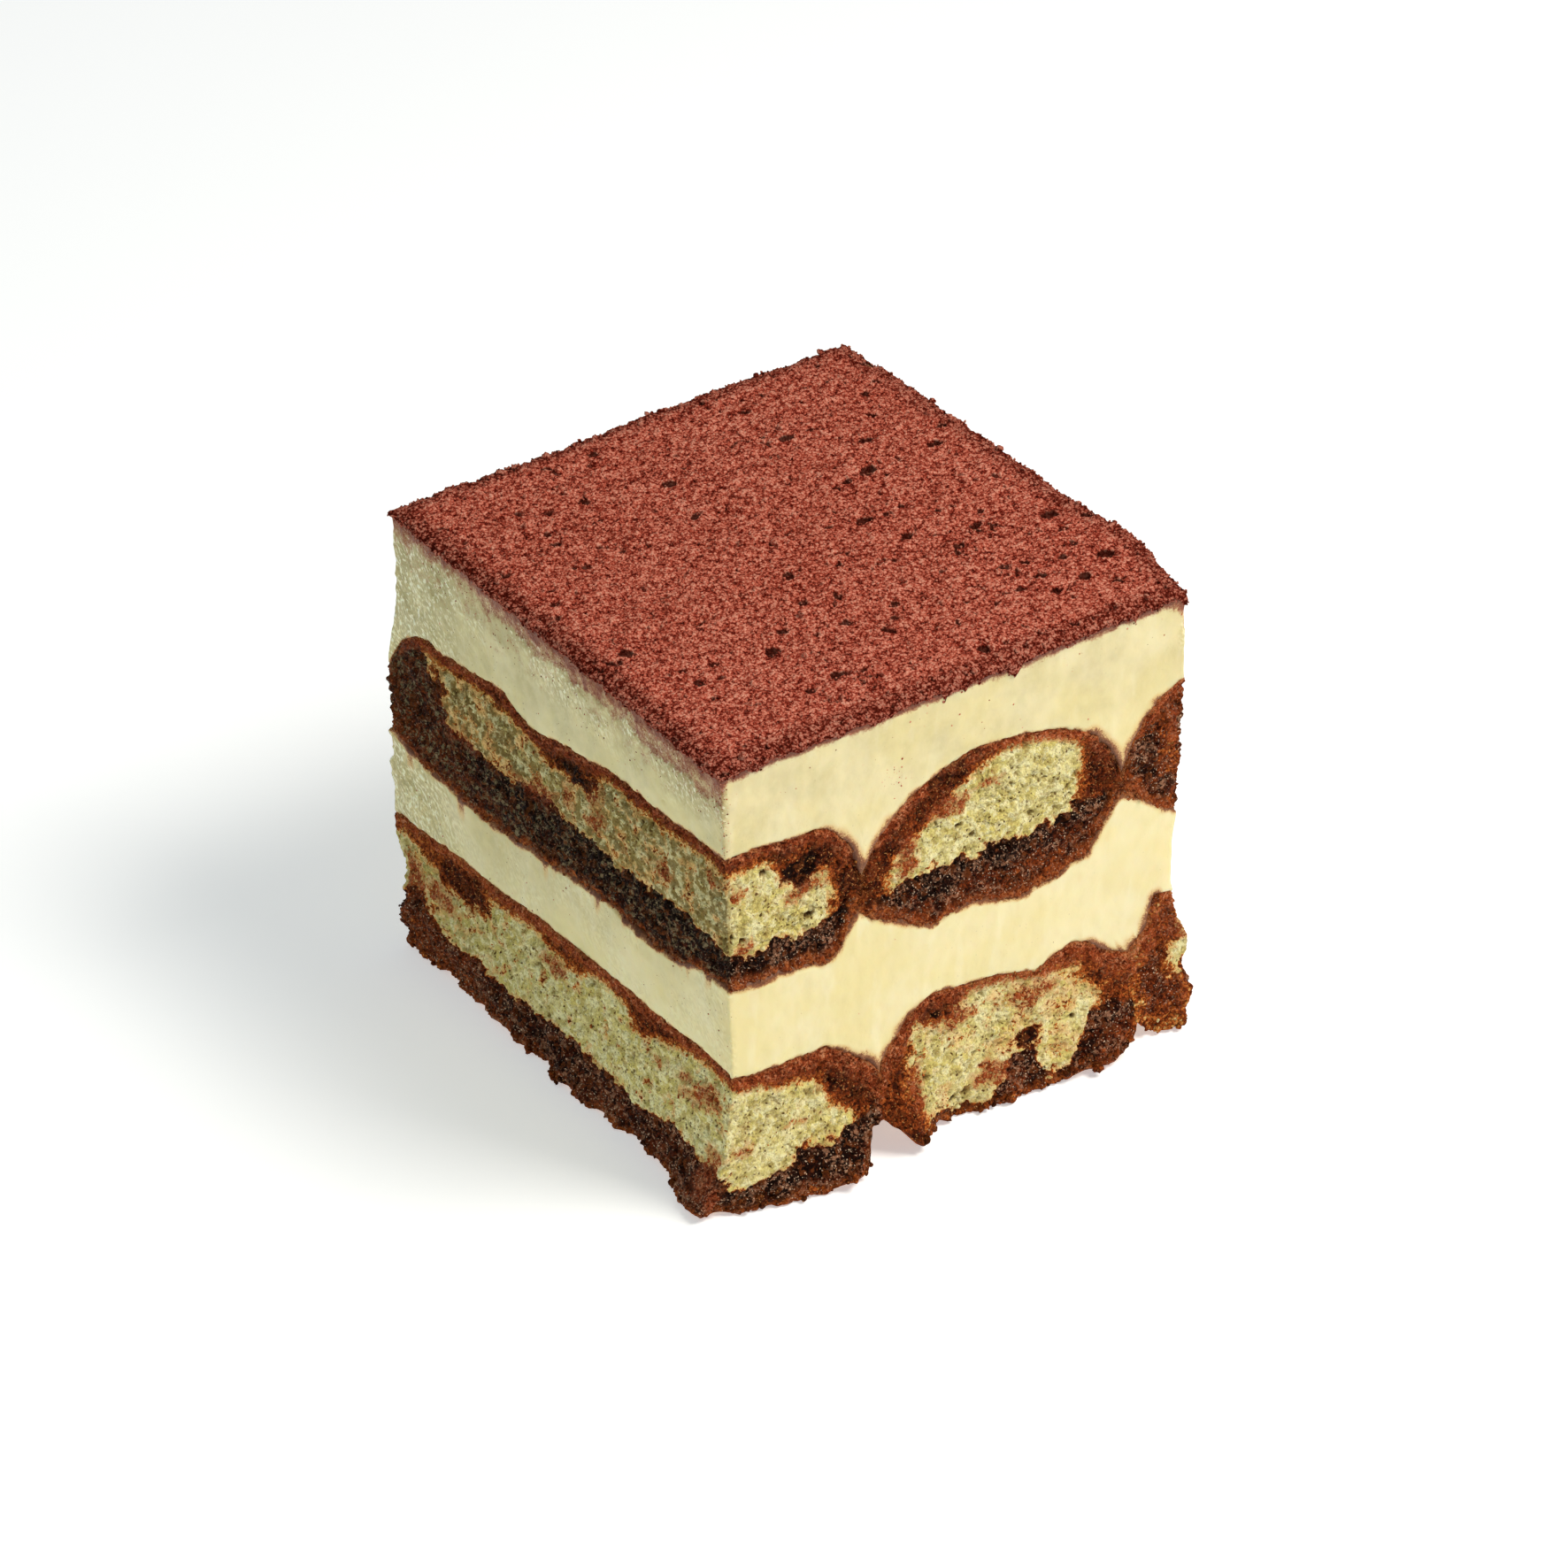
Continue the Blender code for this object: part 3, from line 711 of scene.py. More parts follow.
    # cream washed into it, as pale half-clear grains, and wet points of light
    milky = look.math("MULTIPLY", look.fit(look.noise(0.5, 3.0, 19.0, 0.7), 0.48, 0.6), look.fit(look.noise(1.9, 2.0, 9.0, 0.6), 0.44, 0.58))
    # painted shade: on the shaded left cut the milky grains are greyer and the soaked crumb is tinted greener and
    # darker
    wet = look.mix(look.math("MULTIPLY", look.math("MULTIPLY", milky, banded), look.fit(soak, 0.45, 0.75, 0.0, 0.75)), wet, look.mix(side_shade, srgb(180, 128, 98), srgb(154, 132, 100)))
    wet = look.mix(look.math("MULTIPLY", side_shade, 0.5), wet, look.mix(1.0, wet, srgb(206, 238, 226), "MULTIPLY"))
    glint, glint_own = look.cells(0.28, 5.0, look.bent(0.4, 0.2, 31.0))
    glint_own = look.math("ADD", glint_own, look.math("MULTIPLY", look.math("SUBTRACT", look.noise(1.1, 2.0, 33.0), 0.5), 1.6))
    glint = look.math("MULTIPLY", look.fit(glint, 0.4, 0.16), look.fit(glint_own, 0.5, 0.75))
    glint = look.math("MULTIPLY", glint, look.fit(side_shade, 0.0, 0.8, 1.0, 0.3))
    wet = look.mix(look.math("MULTIPLY", glint, look.fit(soak, 0.35, 0.7, 0.0, 0.75)), wet, look.mix(banded, srgb(224, 160, 96), srgb(240, 204, 172)))
    turn = look.math("ADD", reached, look.math("MULTIPLY", look.math("SUBTRACT", small_own, 0.5), 0.4))
    turn = look.math("ADD", turn, look.math("MULTIPLY", look.math("SUBTRACT", big_own, 0.5), 0.3))
    turn = look.math("ADD", turn, look.math("MULTIPLY", look.math("SUBTRACT", speck, 0.5), 0.9))
    body = look.mix(look.math("MULTIPLY", look.fit(turn, 0.3, 0.5), look.fit(reached, 0.02, 0.14)), dry, wet)
    # browned crust
    brown = look.ramp(look.math("ADD", look.math("MULTIPLY", clump, 0.45), look.math("MULTIPLY", speck, 0.55)), (0.36, srgb(85, 26, 8)), (0.45, srgb(136, 55, 25)), (0.54, srgb(180, 90, 51)), (0.64, srgb(217, 146, 104)))
    # painted shade in the gaps between the crust's grains
    brown = look.mix(look.fit(small, 0.5, 0.75, 0.0, 0.55), brown, srgb(60, 18, 6))
    # painted shade: the crust darker on the shaded left cut
    brown = look.mix(look.math("MULTIPLY", side_shade, 0.6), brown, look.mix(1.0, brown, srgb(172, 138, 124), "MULTIPLY"))
    body = look.mix(look.math("MULTIPLY", crust, look.fit(speck, 0.36, 0.52, 0.35, 1.0)), body, brown)
    # painted shade in the pores of the soaked crumb
    body = look.mix(look.math("MULTIPLY", look.fit(pore_shade, 0.4, 1.0, 0.0, 0.8), look.fit(soak, 0.15, 0.5)), body, srgb(26, 9, 4))
    # where it touches the cream, some cream is worked into it
    # painted glow: thin wet edges painted orange, as if light shone through them
    body = look.mix(look.math("MULTIPLY", thin, look.fit(clump, 0.42, 0.6, 0.2, 0.85)), body, look.mix(look.fit(speck, 0.4, 0.6), srgb(122, 52, 18), srgb(188, 98, 38)))
    washed = look.math("ADD", rim, look.math("MULTIPLY", look.math("SUBTRACT", look.math("ADD", look.math("MULTIPLY", speck, 0.5), look.math("MULTIPLY", fine, 0.5)), 0.5), 2.4))
    body = look.mix(look.fit(washed, 0.75, 1.15, 0.0, 0.6), body, srgb(186, 122, 76))
    bumps = look.math("ADD", look.noise(0.24, 3.0, 5.0, 0.65), look.math("MULTIPLY", small, -0.55))
    rough = look.mix(look.fit(soak, 0.3, 0.8), (0.95, 0.95, 0.95), (0.5, 0.5, 0.5))
    rough = look.math("ADD", rough, look.math("MULTIPLY", look.math("SUBTRACT", fine, 0.5), 0.5), clamp=True)
    return look.set(color=body, rough=rough, normal=look.bump(bumps, 0.2), sss=0.1, sss_radius=(1.0, 0.62, 0.34), sss_scale=0.0006, spec=0.04)


def cream_material():
    look = Look("mascarpone_cream")
    stain, dust, speckle, painted_shade_and_veil = look.field("state")
    torn, _, _, _ = look.field("more")
    rake = look.raked(0.34, 0.16)
    streak = look.noise(2.2, 3.0, 1.0, 0.5, stretch=(1.0, 1.0, 0.28))
    cloud = look.noise(7.0, 2.0, 2.0)
    grain = look.noise(0.3, 3.0, 3.0, 0.6)
    fine = look.noise(0.13, 2.0, 4.0, 0.6)
    patch = look.noise(1.4, 3.0, 8.0, 0.6)
    body = look.mix(look.fit(cloud, 0.35, 0.65), srgb(245, 231, 182), srgb(241, 225, 165))
    body = look.mix(look.fit(streak, 0.52, 0.7, 0.0, 0.5), body, srgb(249, 237, 196))
    # painted shade and veil: grey-olive where the cream is marked as shaded, with the cocoa and coffee veil on the
    # upper left
    body = look.mix(look.math("MULTIPLY", painted_shade_and_veil, look.fit(patch, 0.36, 0.62, 0.72, 0.94)), body, srgb(196, 182, 130))
    # knife strokes: painted shade in their grooves and painted highlight on their ridges, following the same strokes in
    # the bump
    body = look.mix(look.math("MULTIPLY", torn, look.fit(rake, 0.5, 0.4, 0.0, 0.6)), body, srgb(178, 164, 116))
    body = look.mix(look.math("MULTIPLY", torn, look.fit(rake, 0.54, 0.62, 0.0, 0.85)), body, srgb(254, 250, 218))
    # coffee drawn into the cream around the fingers: a soft tint, then brown grains
    body = look.mix(look.fit(stain, 0.0, 0.55, 0.0, 0.7), body, srgb(224, 184, 116))
    rough_edge = look.math("ADD", stain, look.math("MULTIPLY", look.math("SUBTRACT", look.math("ADD", look.math("MULTIPLY", grain, 0.5), look.math("MULTIPLY", fine, 0.5)), 0.5), 1.5))
    body = look.mix(look.fit(rough_edge, 0.35, 0.8, 0.0, 0.95), body, look.ramp(look.math("ADD", rough_edge, 0.0, clamp=True), (0.35, srgb(206, 158, 98)), (0.65, srgb(160, 92, 46)), (1.0, srgb(98, 42, 18))))
    # cocoa dust under the top edge: grains close together at the edge, apart lower down, with cream between
    powder = look.math("ADD", dust, look.math("MULTIPLY", look.math("SUBTRACT", patch, 0.5), 1.1))
    powder = look.math("ADD", powder, look.math("MULTIPLY", look.math("SUBTRACT", grain, 0.5), 0.8))
    powder = look.math("ADD", powder, look.math("MULTIPLY", look.math("SUBTRACT", fine, 0.5), 0.9), clamp=True)
    body = look.mix(look.math("MULTIPLY", look.fit(powder, 0.14, 0.84, 0.0, 0.95), look.fit(dust, 0.0, 0.12)), body, look.ramp(powder, (0.1, srgb(206, 150, 92)), (0.5, srgb(168, 90, 50)), (1.0, srgb(120, 46, 22))))
    cell, own = look.cells(0.8, 5.0)
    spot = look.math("MULTIPLY", look.fit(cell, 0.12, 0.06), look.fit(own, 0.62, 0.7))
    body = look.mix(look.math("MULTIPLY", look.math("MULTIPLY", spot, speckle), 0.8), body, srgb(112, 74, 44))
    cell, own = look.cells(0.42, 6.0)
    spot = look.math("MULTIPLY", look.fit(cell, 0.2, 0.1), look.fit(own, 0.8, 0.86))
    body = look.mix(look.math("MULTIPLY", look.math("MULTIPLY", spot, speckle), 0.4), body, srgb(158, 122, 82))
    bumps = look.math("ADD", look.math("MULTIPLY", look.noise(0.5, 3.0, 7.0, 0.5), 0.7), look.math("MULTIPLY", streak, 0.8))
    bumps = look.math("ADD", bumps, look.math("MULTIPLY", look.math("MULTIPLY", rake, torn), 4.0))
    rough = look.fit(grain, 0.3, 0.7, 0.4, 0.6, False)
    return look.set(color=body, rough=rough, normal=look.bump(bumps, 0.06), sss=0.5, sss_radius=(1.0, 0.72, 0.42), sss_scale=0.0015, spec=0.35)


def cocoa_material():
    look = Look("cocoa_powder")
    height, edge, pit_shade, _ = look.field("state")
    torn = look.bent(0.4, 0.12, 12.0)
    cell, own = look.cells(0.33, 1.0, torn)
    grain = look.noise(0.18, 3.0, 1.0, 0.65)
    fine = look.noise(0.15, 2.0, 2.0, 0.6)
    blotch = look.noise(4.5, 3.0, 3.0)
    sweep = look.noise(0.95, 2.0, 5.0, 0.6)
    # light and dark grains: partly the powder's own tone, partly painted light and shade; higher grains and clumps and
    # the pink flecks painted lighter as highlight, lower ones and the gaps near-black as shade
    value = look.math("ADD", look.math("MULTIPLY", grain, 0.54), look.math("MULTIPLY", height, 0.18))
    value = look.math("ADD", value, look.math("MULTIPLY", look.math("SUBTRACT", sweep, 0.5), 0.42))
    value = look.math("ADD", value, 0.118)
    value = look.math("ADD", value, look.math("MULTIPLY", own, 0.14))
    value = look.math("ADD", value, look.fit(cell, 0.3, 0.75, 0.06, -0.12))
    body = look.ramp(value, (0.34, srgb(80, 10, 3)), (0.43, srgb(136, 42, 28)), (0.51, srgb(190, 82, 61)), (0.59, srgb(226, 123, 99)), (0.7, srgb(248, 168, 142)))
    body = look.mix(look.fit(fine, 0.54, 0.7, 0.0, 0.4), body, srgb(236, 152, 128))
    body = look.mix(look.fit(blotch, 0.5, 0.72, 0.0, 0.15), body, srgb(134, 54, 36))
    # painted shade: darker brown along the top's edges, most along the left, and down the sides, more on the darker
    # grains
    edge_shade = look.math("MULTIPLY", look.fit(edge, 0.1, 1.0), look.fit(value, 0.6, 0.42, 0.35, 0.95))
    body = look.mix(edge_shade, body, srgb(80, 20, 10))
    # painted shade in the pits and cracks of the top
    body = look.mix(look.fit(pit_shade, 0.1, 0.7, 0.0, 0.9), body, srgb(46, 12, 6))
    bumps = look.math("ADD", grain, look.math("MULTIPLY", fine, 0.5))
    bumps = look.math("ADD", bumps, look.math("MULTIPLY", cell, -0.5))
    bumps = look.math("ADD", bumps, look.math("MULTIPLY", sweep, 1.2))
    return look.set(color=body, rough=1.0, normal=look.bump(bumps, 0.26), spec=0.02)


SPONGE, CREAM, COCOA = sponge_material(), cream_material(), cocoa_material()


# ---------------------------------------------------------------- soaked ladyfingers
def ellipse(u, z, patch):
    cu, cz, ru, rz = patch[:4]
    return (1 - np.sqrt(((u - cu) / ru) ** 2 + ((z - cz) / rz) ** 2)) * min(ru, rz)


# Across a front or back cut. wet: how dark the soaked part is. tea: how far coffee tints the crumb. crust: depth of the browned top. band: height of the soaked lower part. left, right: where the soaked sides begin, against height.
# dark, brown, dry: patches as (across, height, half width, half height).
ACROSS = {
    "ladyfinger_upper_left": dict(
        wet=1.0, tea=0.1, crust=line((-29, 2.3), (-25, 2.0), (-23.6, 2.2), (-22.4, 4.2), (-20, 5.4), (-17, 5.2), (-15, 4.5), (-11.6, 4)),
        band=line((-29, 32.6), (-26, 31.8), (-22, 32.6), (-18, 32.0), (-14, 33.6), (-11, 35)),
        left=None, right=line((26, -17.5), (32, -16.3), (34, -15.6), (37, -15.7), (39, -17), (44, -18)),
        dark=[(-19.5, 40.3, 2.8, 1.9), (-21.5, 30, 3.5, 1.6), (-18, 29.5, 2.5, 1.4)], brown=[(-27.2, 33.3, 1.3, 0.9), (-27.5, 40.2, 1.4, 0.8), (-18.8, 38, 2.2, 1.0)], dry=[],
    ),
    "ladyfinger_upper_middle": dict(
        wet=1.0, tea=0.0, crust=line((-11, 4), (-6, 5.6), (-4, 5.4), (-2, 4.8), (0.5, 3.9), (2.5, 3.0), (5, 2.0), (8, 1.3), (12, 1.1), (15, 1.2), (17, 1.6), (19.5, 3.5)),
        band=line((-9, 33.0), (-5, 33.4), (-2, 33.8), (2, 33.3), (6, 33.0), (10, 33.2), (13, 33.6), (17, 34.8)),
        left=line((26, -6), (31, -7.4), (34, -8.1), (36, -7.8), (38, -6.9), (40, -4.4), (46, -1)), right=line((26, 13), (33, 15.0), (36, 16), (39, 15.8), (44, 15.4)),
        dark=[(-1.8, 31, 3.0, 2.0), (5, 31.7, 2.6, 1.1), (11, 31.4, 2.8, 1.1), (1, 45.6, 3.4, 0.9), (-2, 44.3, 1.6, 0.9)], brown=[(-0.8, 40.8, 2.4, 1.3), (4.5, 41.8, 1.4, 0.6), (-6, 36.8, 1.2, 2.6)], dry=[],
    ),
    "ladyfinger_upper_right": dict(
        wet=0.8, tea=0.0, crust=line((21, 3), (29, 3)), band=line((21, 60), (29, 60)), left=None, right=None,
        dark=[(24.6, 36.5, 2.2, 4.2), (26.6, 32, 2, 2)], brown=[(28.7, 38.5, 1.7, 4.5), (28.4, 31.5, 1.2, 1.6)], dry=[],
    ),
    "ladyfinger_lower_left": dict(
        wet=1.0, tea=0.1, crust=line((-29, 1.7), (-26.5, 1.6), (-24, 2.4), (-20, 3.1), (-17, 3.8), (-15, 5), (-12, 6)),
        band=line((-29, 7.0), (-28, 5.4), (-27, 3.9), (-25.5, 3.0), (-24, 2.9), (-22.5, 3.1), (-21, 3.7), (-19.5, 4.5), (-17, 5.3), (-15, 5.4), (-13.5, 5.8), (-12, 6.6)),
        left=None, right=line((0, -12.5), (5.5, -12), (7, -13.4), (9, -15.2), (11, -16.6), (14, -18), (17, -20)),
        dark=[(-20.5, 1.7, 1.6, 1.3), (-15.5, 3.0, 3.5, 2.0), (-22.8, 0.9, 1.4, 0.9)], brown=[(-26.9, 7.8, 1.2, 0.6), (-19.5, 8.8, 1.4, 0.4), (-28.2, 2.2, 1.2, 1.6)], dry=[],
    ),
    "ladyfinger_lower_middle": dict(
        wet=0.86, tea=0.24, crust=line((-9, 4), (-5, 3.4), (-4.2, 1.5), (-3.4, 4.0), (-1.5, 4.4), (0.5, 4.0), (1.6, 2.0), (3, 1.0), (8, 0.8), (12, 1.1), (13.5, 2.3), (17, 3.4), (19, 5)),
        band=line((-4.5, 1.0), (-1.6, 1.8), (0.5, 1.0), (3, 0.9), (5.3, 1.6), (6.7, 3.6), (8.3, 5.6), (10.2, 6.0), (11.5, 3.2), (13.2, 1.5), (15.8, 3.2), (16.8, 5.4), (18, 7.2)),
        left=line((0, -3.2), (4, -3.8), (8, -4.6), (12, -4.8), (16, -4)), right=line((0, 17.4), (4, 17.6), (8, 18), (11, 17), (14, 16.2), (18, 15.5)),
        dark=[(-1.8, 15.2, 2.2, 1.3), (-0.2, 14.2, 1.6, 1.0), (9.9, 6.9, 1.9, 1.3), (14.7, 9.3, 1.1, 0.45)], brown=[(0.5, 13.3, 2.4, 1.0), (10.5, 12.2, 3.4, 1.2), (14.6, 14.7, 2.2, 1.2), (5.5, 4.6, 2.2, 1.4), (7.4, 15.4, 1.2, 0.6), (-4.6, 6, 1.0, 3)], dry=[(13.6, 4.0, 2.0, 2.5)],
    ),
    "ladyfinger_lower_right": dict(
        wet=0.5, tea=0.0, crust=line((21, 3), (29, 3)), band=line((21, 60), (29, 60)), left=None, right=None,
        dark=[(25, 8, 2.4, 3.6), (25.6, 4.5, 2.4, 1.6), (26.9, 17.8, 1.1, 1.2)], brown=[(28.4, 13.4, 1.6, 1.6), (28.4, 4.2, 0.9, 2.4), (25.6, 13.2, 1.2, 1.0)], dry=[(27.9, 9.6, 1.6, 2.3)],
    ),
}
# Along a left or right cut, the same against y.
ALONG = {
    "upper": dict(
        wet=1.0, tea=0.06, crust=line((-30, 2.2), (-25, 1.7), (-20, 1.9), (-15, 2.2), (-10, 1.6), (-7, 1.9), (-5, 3.2), (-3, 4.3), (0, 3.7), (2, 3.2), (5, 1.7), (10, 2.7), (15, 2.0), (20, 2.0), (25, 1.7), (30, 2)),
        band=line((-30, 32.8), (-25, 33.6), (-20, 34.3), (-15, 33.8), (-10, 33.6), (-5, 33.9), (0, 34.3), (5, 33.9), (12, 33.3), (17, 33.5), (20, 35), (22, 37.5), (24, 40), (28, 42)),
        dark=[(-15, 32, 12, 1.6), (-3.4, 40.6, 4.2, 1.5), (24, 34, 4, 3.5), (14, 30.5, 8, 2.2), (2, 31.5, 4, 1.6), (21.5, 37.3, 1.6, 1.8)],
        brown=[(18, 33.6, 2.6, 0.9), (5, 33.9, 3.4, 1.0), (-6.6, 39.8, 1.6, 1.2), (-7, 36.8, 1.9, 1.2), (-19, 37.3, 1.2, 0.9), (-27.4, 41.3, 0.9, 0.8), (-1.5, 37.2, 1.0, 1.2), (2.2, 35.4, 2.0, 0.9), (21.3, 36.0, 1.2, 1.4)],
        dry=[],
    ),
    "lower": dict(
        wet=0.82, tea=0.04, crust=line((-30, 1.8), (-25, 1.6), (-22, 2.0), (-18, 2.8), (-15, 4.4), (-13, 4.4), (-11, 2.4), (-7, 1.7), (-4, 2.7), (-1, 3.5), (2, 3.0), (6, 2.0), (10, 2.0), (13.5, 3.2), (17, 4.6), (22, 5.2), (25, 3.4), (28, 2)),
        band=line((-30, 5.6), (-27, 6), (-24, 6.4), (-20, 6.4), (-15, 5.2), (-10, 6), (-5, 6), (0, 6.5), (5, 6), (10, 5.5), (15, 6.3), (20, 6), (24, 7.2), (27, 9.2), (30, 9.8)),
        dark=[(18.5, 14.2, 4.8, 2.2), (5, 3.2, 14, 2.2), (-15, 3.2, 6, 1.5), (-24, 3.0, 4, 1.6), (27, 8, 2, 2)],
        brown=[(-22, 13.3, 0.9, 0.5), (-26, 13.2, 2.6, 1.0), (-24, 11.8, 1.6, 0.6), (1.2, 13.7, 2.2, 1.0), (23, 10.6, 2.8, 1.2), (-28.6, 5, 1.6, 3.0), (28, 11, 1.6, 2.4), (-17.5, 12.5, 1.3, 0.7)],
        dry=[],
    ),
}


def stained(spec, u, z, depth, across):
    """(how far outside the dry core, mm; how deep in the crust, mm; dark and brown patches; how far under the crumb's lower edge, mm) on a cut face, from its stations and patches. depth: distance under the top outline."""
    crust = spec["crust"](u)
    below = spec["band"](u) - z
    out = np.maximum(crust - depth, below)
    if across and spec["left"] is not None:
        out = np.maximum(out, spec["left"](z) - u)
    if across and spec["right"] is not None:
        out = np.maximum(out, u - spec["right"](z))
    dark = np.full(len(u), -9.0)
    brown = np.full(len(u), -9.0)
    for patch in spec["dark"]:
        dark = np.maximum(dark, ellipse(u, z, patch))
    for patch in spec["brown"]:
        brown = np.maximum(brown, ellipse(u, z, patch))
    for patch in spec["dry"]:
        out = np.minimum(out, -ellipse(u, z, patch))
        below = np.minimum(below, -ellipse(u, z, patch))
    return out, crust - depth, dark, brown, below, np.full(len(u), spec["wet"]), np.full(len(u), spec["tea"])


def finger_fields(name, q, top, base, slope):
    """Soak, crust, and rim of a finger from where each point lies on its cuts."""
    left, right, front, back = sides(q)
    x, y, z = q[:, 0], q[:, 1], q[:, 2]
    f = FINGERS[name]
    under = (top - z) / slope
    rows = "upper" if name in UPPER else "lower"
    middle = f["x0"] + f["x1"]
    total = np.maximum(left + right + front + back, 1e-6)
    parts = np.zeros((7, len(q)))
    bent = q + jitter(q, 0.75, 2.1, 181) + jitter(q, 0.3, 0.7, 185)
    u_across, u_along, height = bent[:, 0], bent[:, 1], bent[:, 2]
    for weight, spec, u, across in (
        (front, ACROSS[name], u_across, True),
        (back, ACROSS[name], u_across if f["x1"] - f["x0"] < 30 else middle - u_across, True),
        (left, ALONG[rows], u_along, False),
        (right, ALONG[rows], -u_along * 0.96 - 1.2, False),
    ):
        found = np.array(stained(spec, u, height, top - z, across))
        parts += found * (weight / total)
    out, in_crust, dark, brown, below, wet, tea = parts
    ragged = fbm(q, 2.4, 3, 71) * 0.7 + perlin(q, 0.8, 74) * 0.35 + perlin(q, 0.42, 75) * 0.3
    finer = fbm(q, 1.1, 2, 77)
    wander = fbm(q, 3.2, 2, 73)
    # the sides turn from ochre to brown over 2 mm; under the crumb it is nearly black at once, and browner again lower down
    soak = smooth(-0.8, 1.6, out + ragged * 0.9) * mix(0.6, 0.8, smooth(-0.5, 0.5, wander + finer * 0.5))
    lighter = smooth(1.3, 3.6, below + wander * 1.6) * mix(1.0, 0.35, left)
    banded = smooth(-0.2, 0.8, below + ragged * 0.8)
    band = smooth(-0.4, 0.4, below + ragged * 0.9) * mix(1.0, mix(0.55, 0.8, smooth(-0.5, 0.4, finer + wander)), lighter)
    soak = np.maximum(soak, band) * mix(wet, 1.0, 0.4 * smooth(-0.2, 0.5, finer))
    reached = np.maximum(smooth(-0.7, 0.9, out + ragged * 0.9), smooth(-0.4, 0.4, below + ragged * 0.9))
    tea = tea * smooth(-0.5, 0.5, fbm(q, 2.8, 3, 91))
    soak = np.maximum(soak, tea)
    soak = np.maximum(soak, smooth(-0.7, 0.9, dark + ragged * 0.8) * 0.98 * mix(wet, 1.0, 0.4))
    browned = smooth(-0.7, 0.7, brown + ragged * 0.9)
    soak = np.maximum(soak, browned * 0.45)
    reached = np.maximum.reduce([reached, tea, browned * 0.5, smooth(-0.7, 0.9, dark + ragged * 0.8)])
    deep = 1.0 if rows == "upper" else mix(1.7, 1.0, left)
    near_top = smooth(2.0 * deep, 0.5 * deep, under + ragged * 0.7) * smooth(2.5 * deep, 1.3 * deep, slope + finer * 0.4)
    crust = np.maximum(near_top * smooth(-0.9, 0.3, in_crust + ragged * 0.7), browned * 0.75)
    crust = crust * (1 - 0.8 * smooth(-0.3, 0.5, dark + ragged * 0.6))
    above = (z - base) / slope
    rim = smooth(0.8, -0.1, np.minimum(under, above if rows == "upper" else under) + finer * 0.45)
    if rows == "upper":
        crust = np.maximum(crust, smooth(1.2, 0.3, above + finer * 0.7) * mix(0.6, 0.4, left))
    # on the left the knife smeared soaked crumb over the dry
    smear = left * smooth(0.0, 0.45, fbm(bent, 1.7, 3, 83) + 0.22 * smooth(-5, 25, y) + (0.12 if rows == "upper" else 0.0))
    smear = smear * mix(0.12, 0.5, smooth(-0.3, 0.5, fbm(q, 2.4, 2, 87)))
    soak, reached = np.maximum(soak, smear), np.maximum(reached, smear)
    soak = soak * (1 - 0.2 * left * smooth(6, 20, y + finer * 4))
    # wet parts just above a finger's underside, to be painted with an orange glow
    thin = smooth(mix(1.8, 1.1, left), 0.2, (z if rows == "lower" else above) + finer * 0.9) * smooth(0.4, 0.8, soak)
    # painted shade: the crumb on the left cut (strongly on the upper row, faintly and more towards the back on the
    # lower) and a little on the right is marked to be painted darker and greener; the mark also thins the painted
    # glints and adds pinholes there
    side_shade = left * (0.85 + 0.15 * smooth(-10, 25, y)) if rows == "upper" else left * (0.05 + 0.2 * smooth(-5, 27, y))
    side_shade = np.clip(side_shade + right * 0.2, 0, 1)
    return soak, crust, rim, out + ragged * 0.8, np.stack([thin, side_shade, banded, reached], 1)


def slopes(line_of, x, y):
    dx = (line_of(np.minimum(x + 0.15, 99), y) - line_of(x - 0.15, y)) / 0.3
    dy = (line_of(x, y + 0.15) - line_of(x, y - 0.15)) / 0.3
    return np.sqrt(1 + np.clip(dx, -5, 5) ** 2 + np.clip(dy, -3, 3) ** 2)


def jitter(q, amount, size, seed):
    return np.stack([perlin(q, size, seed), perlin(q, size, seed + 1), perlin(q, size, seed + 2)], 1) * amount


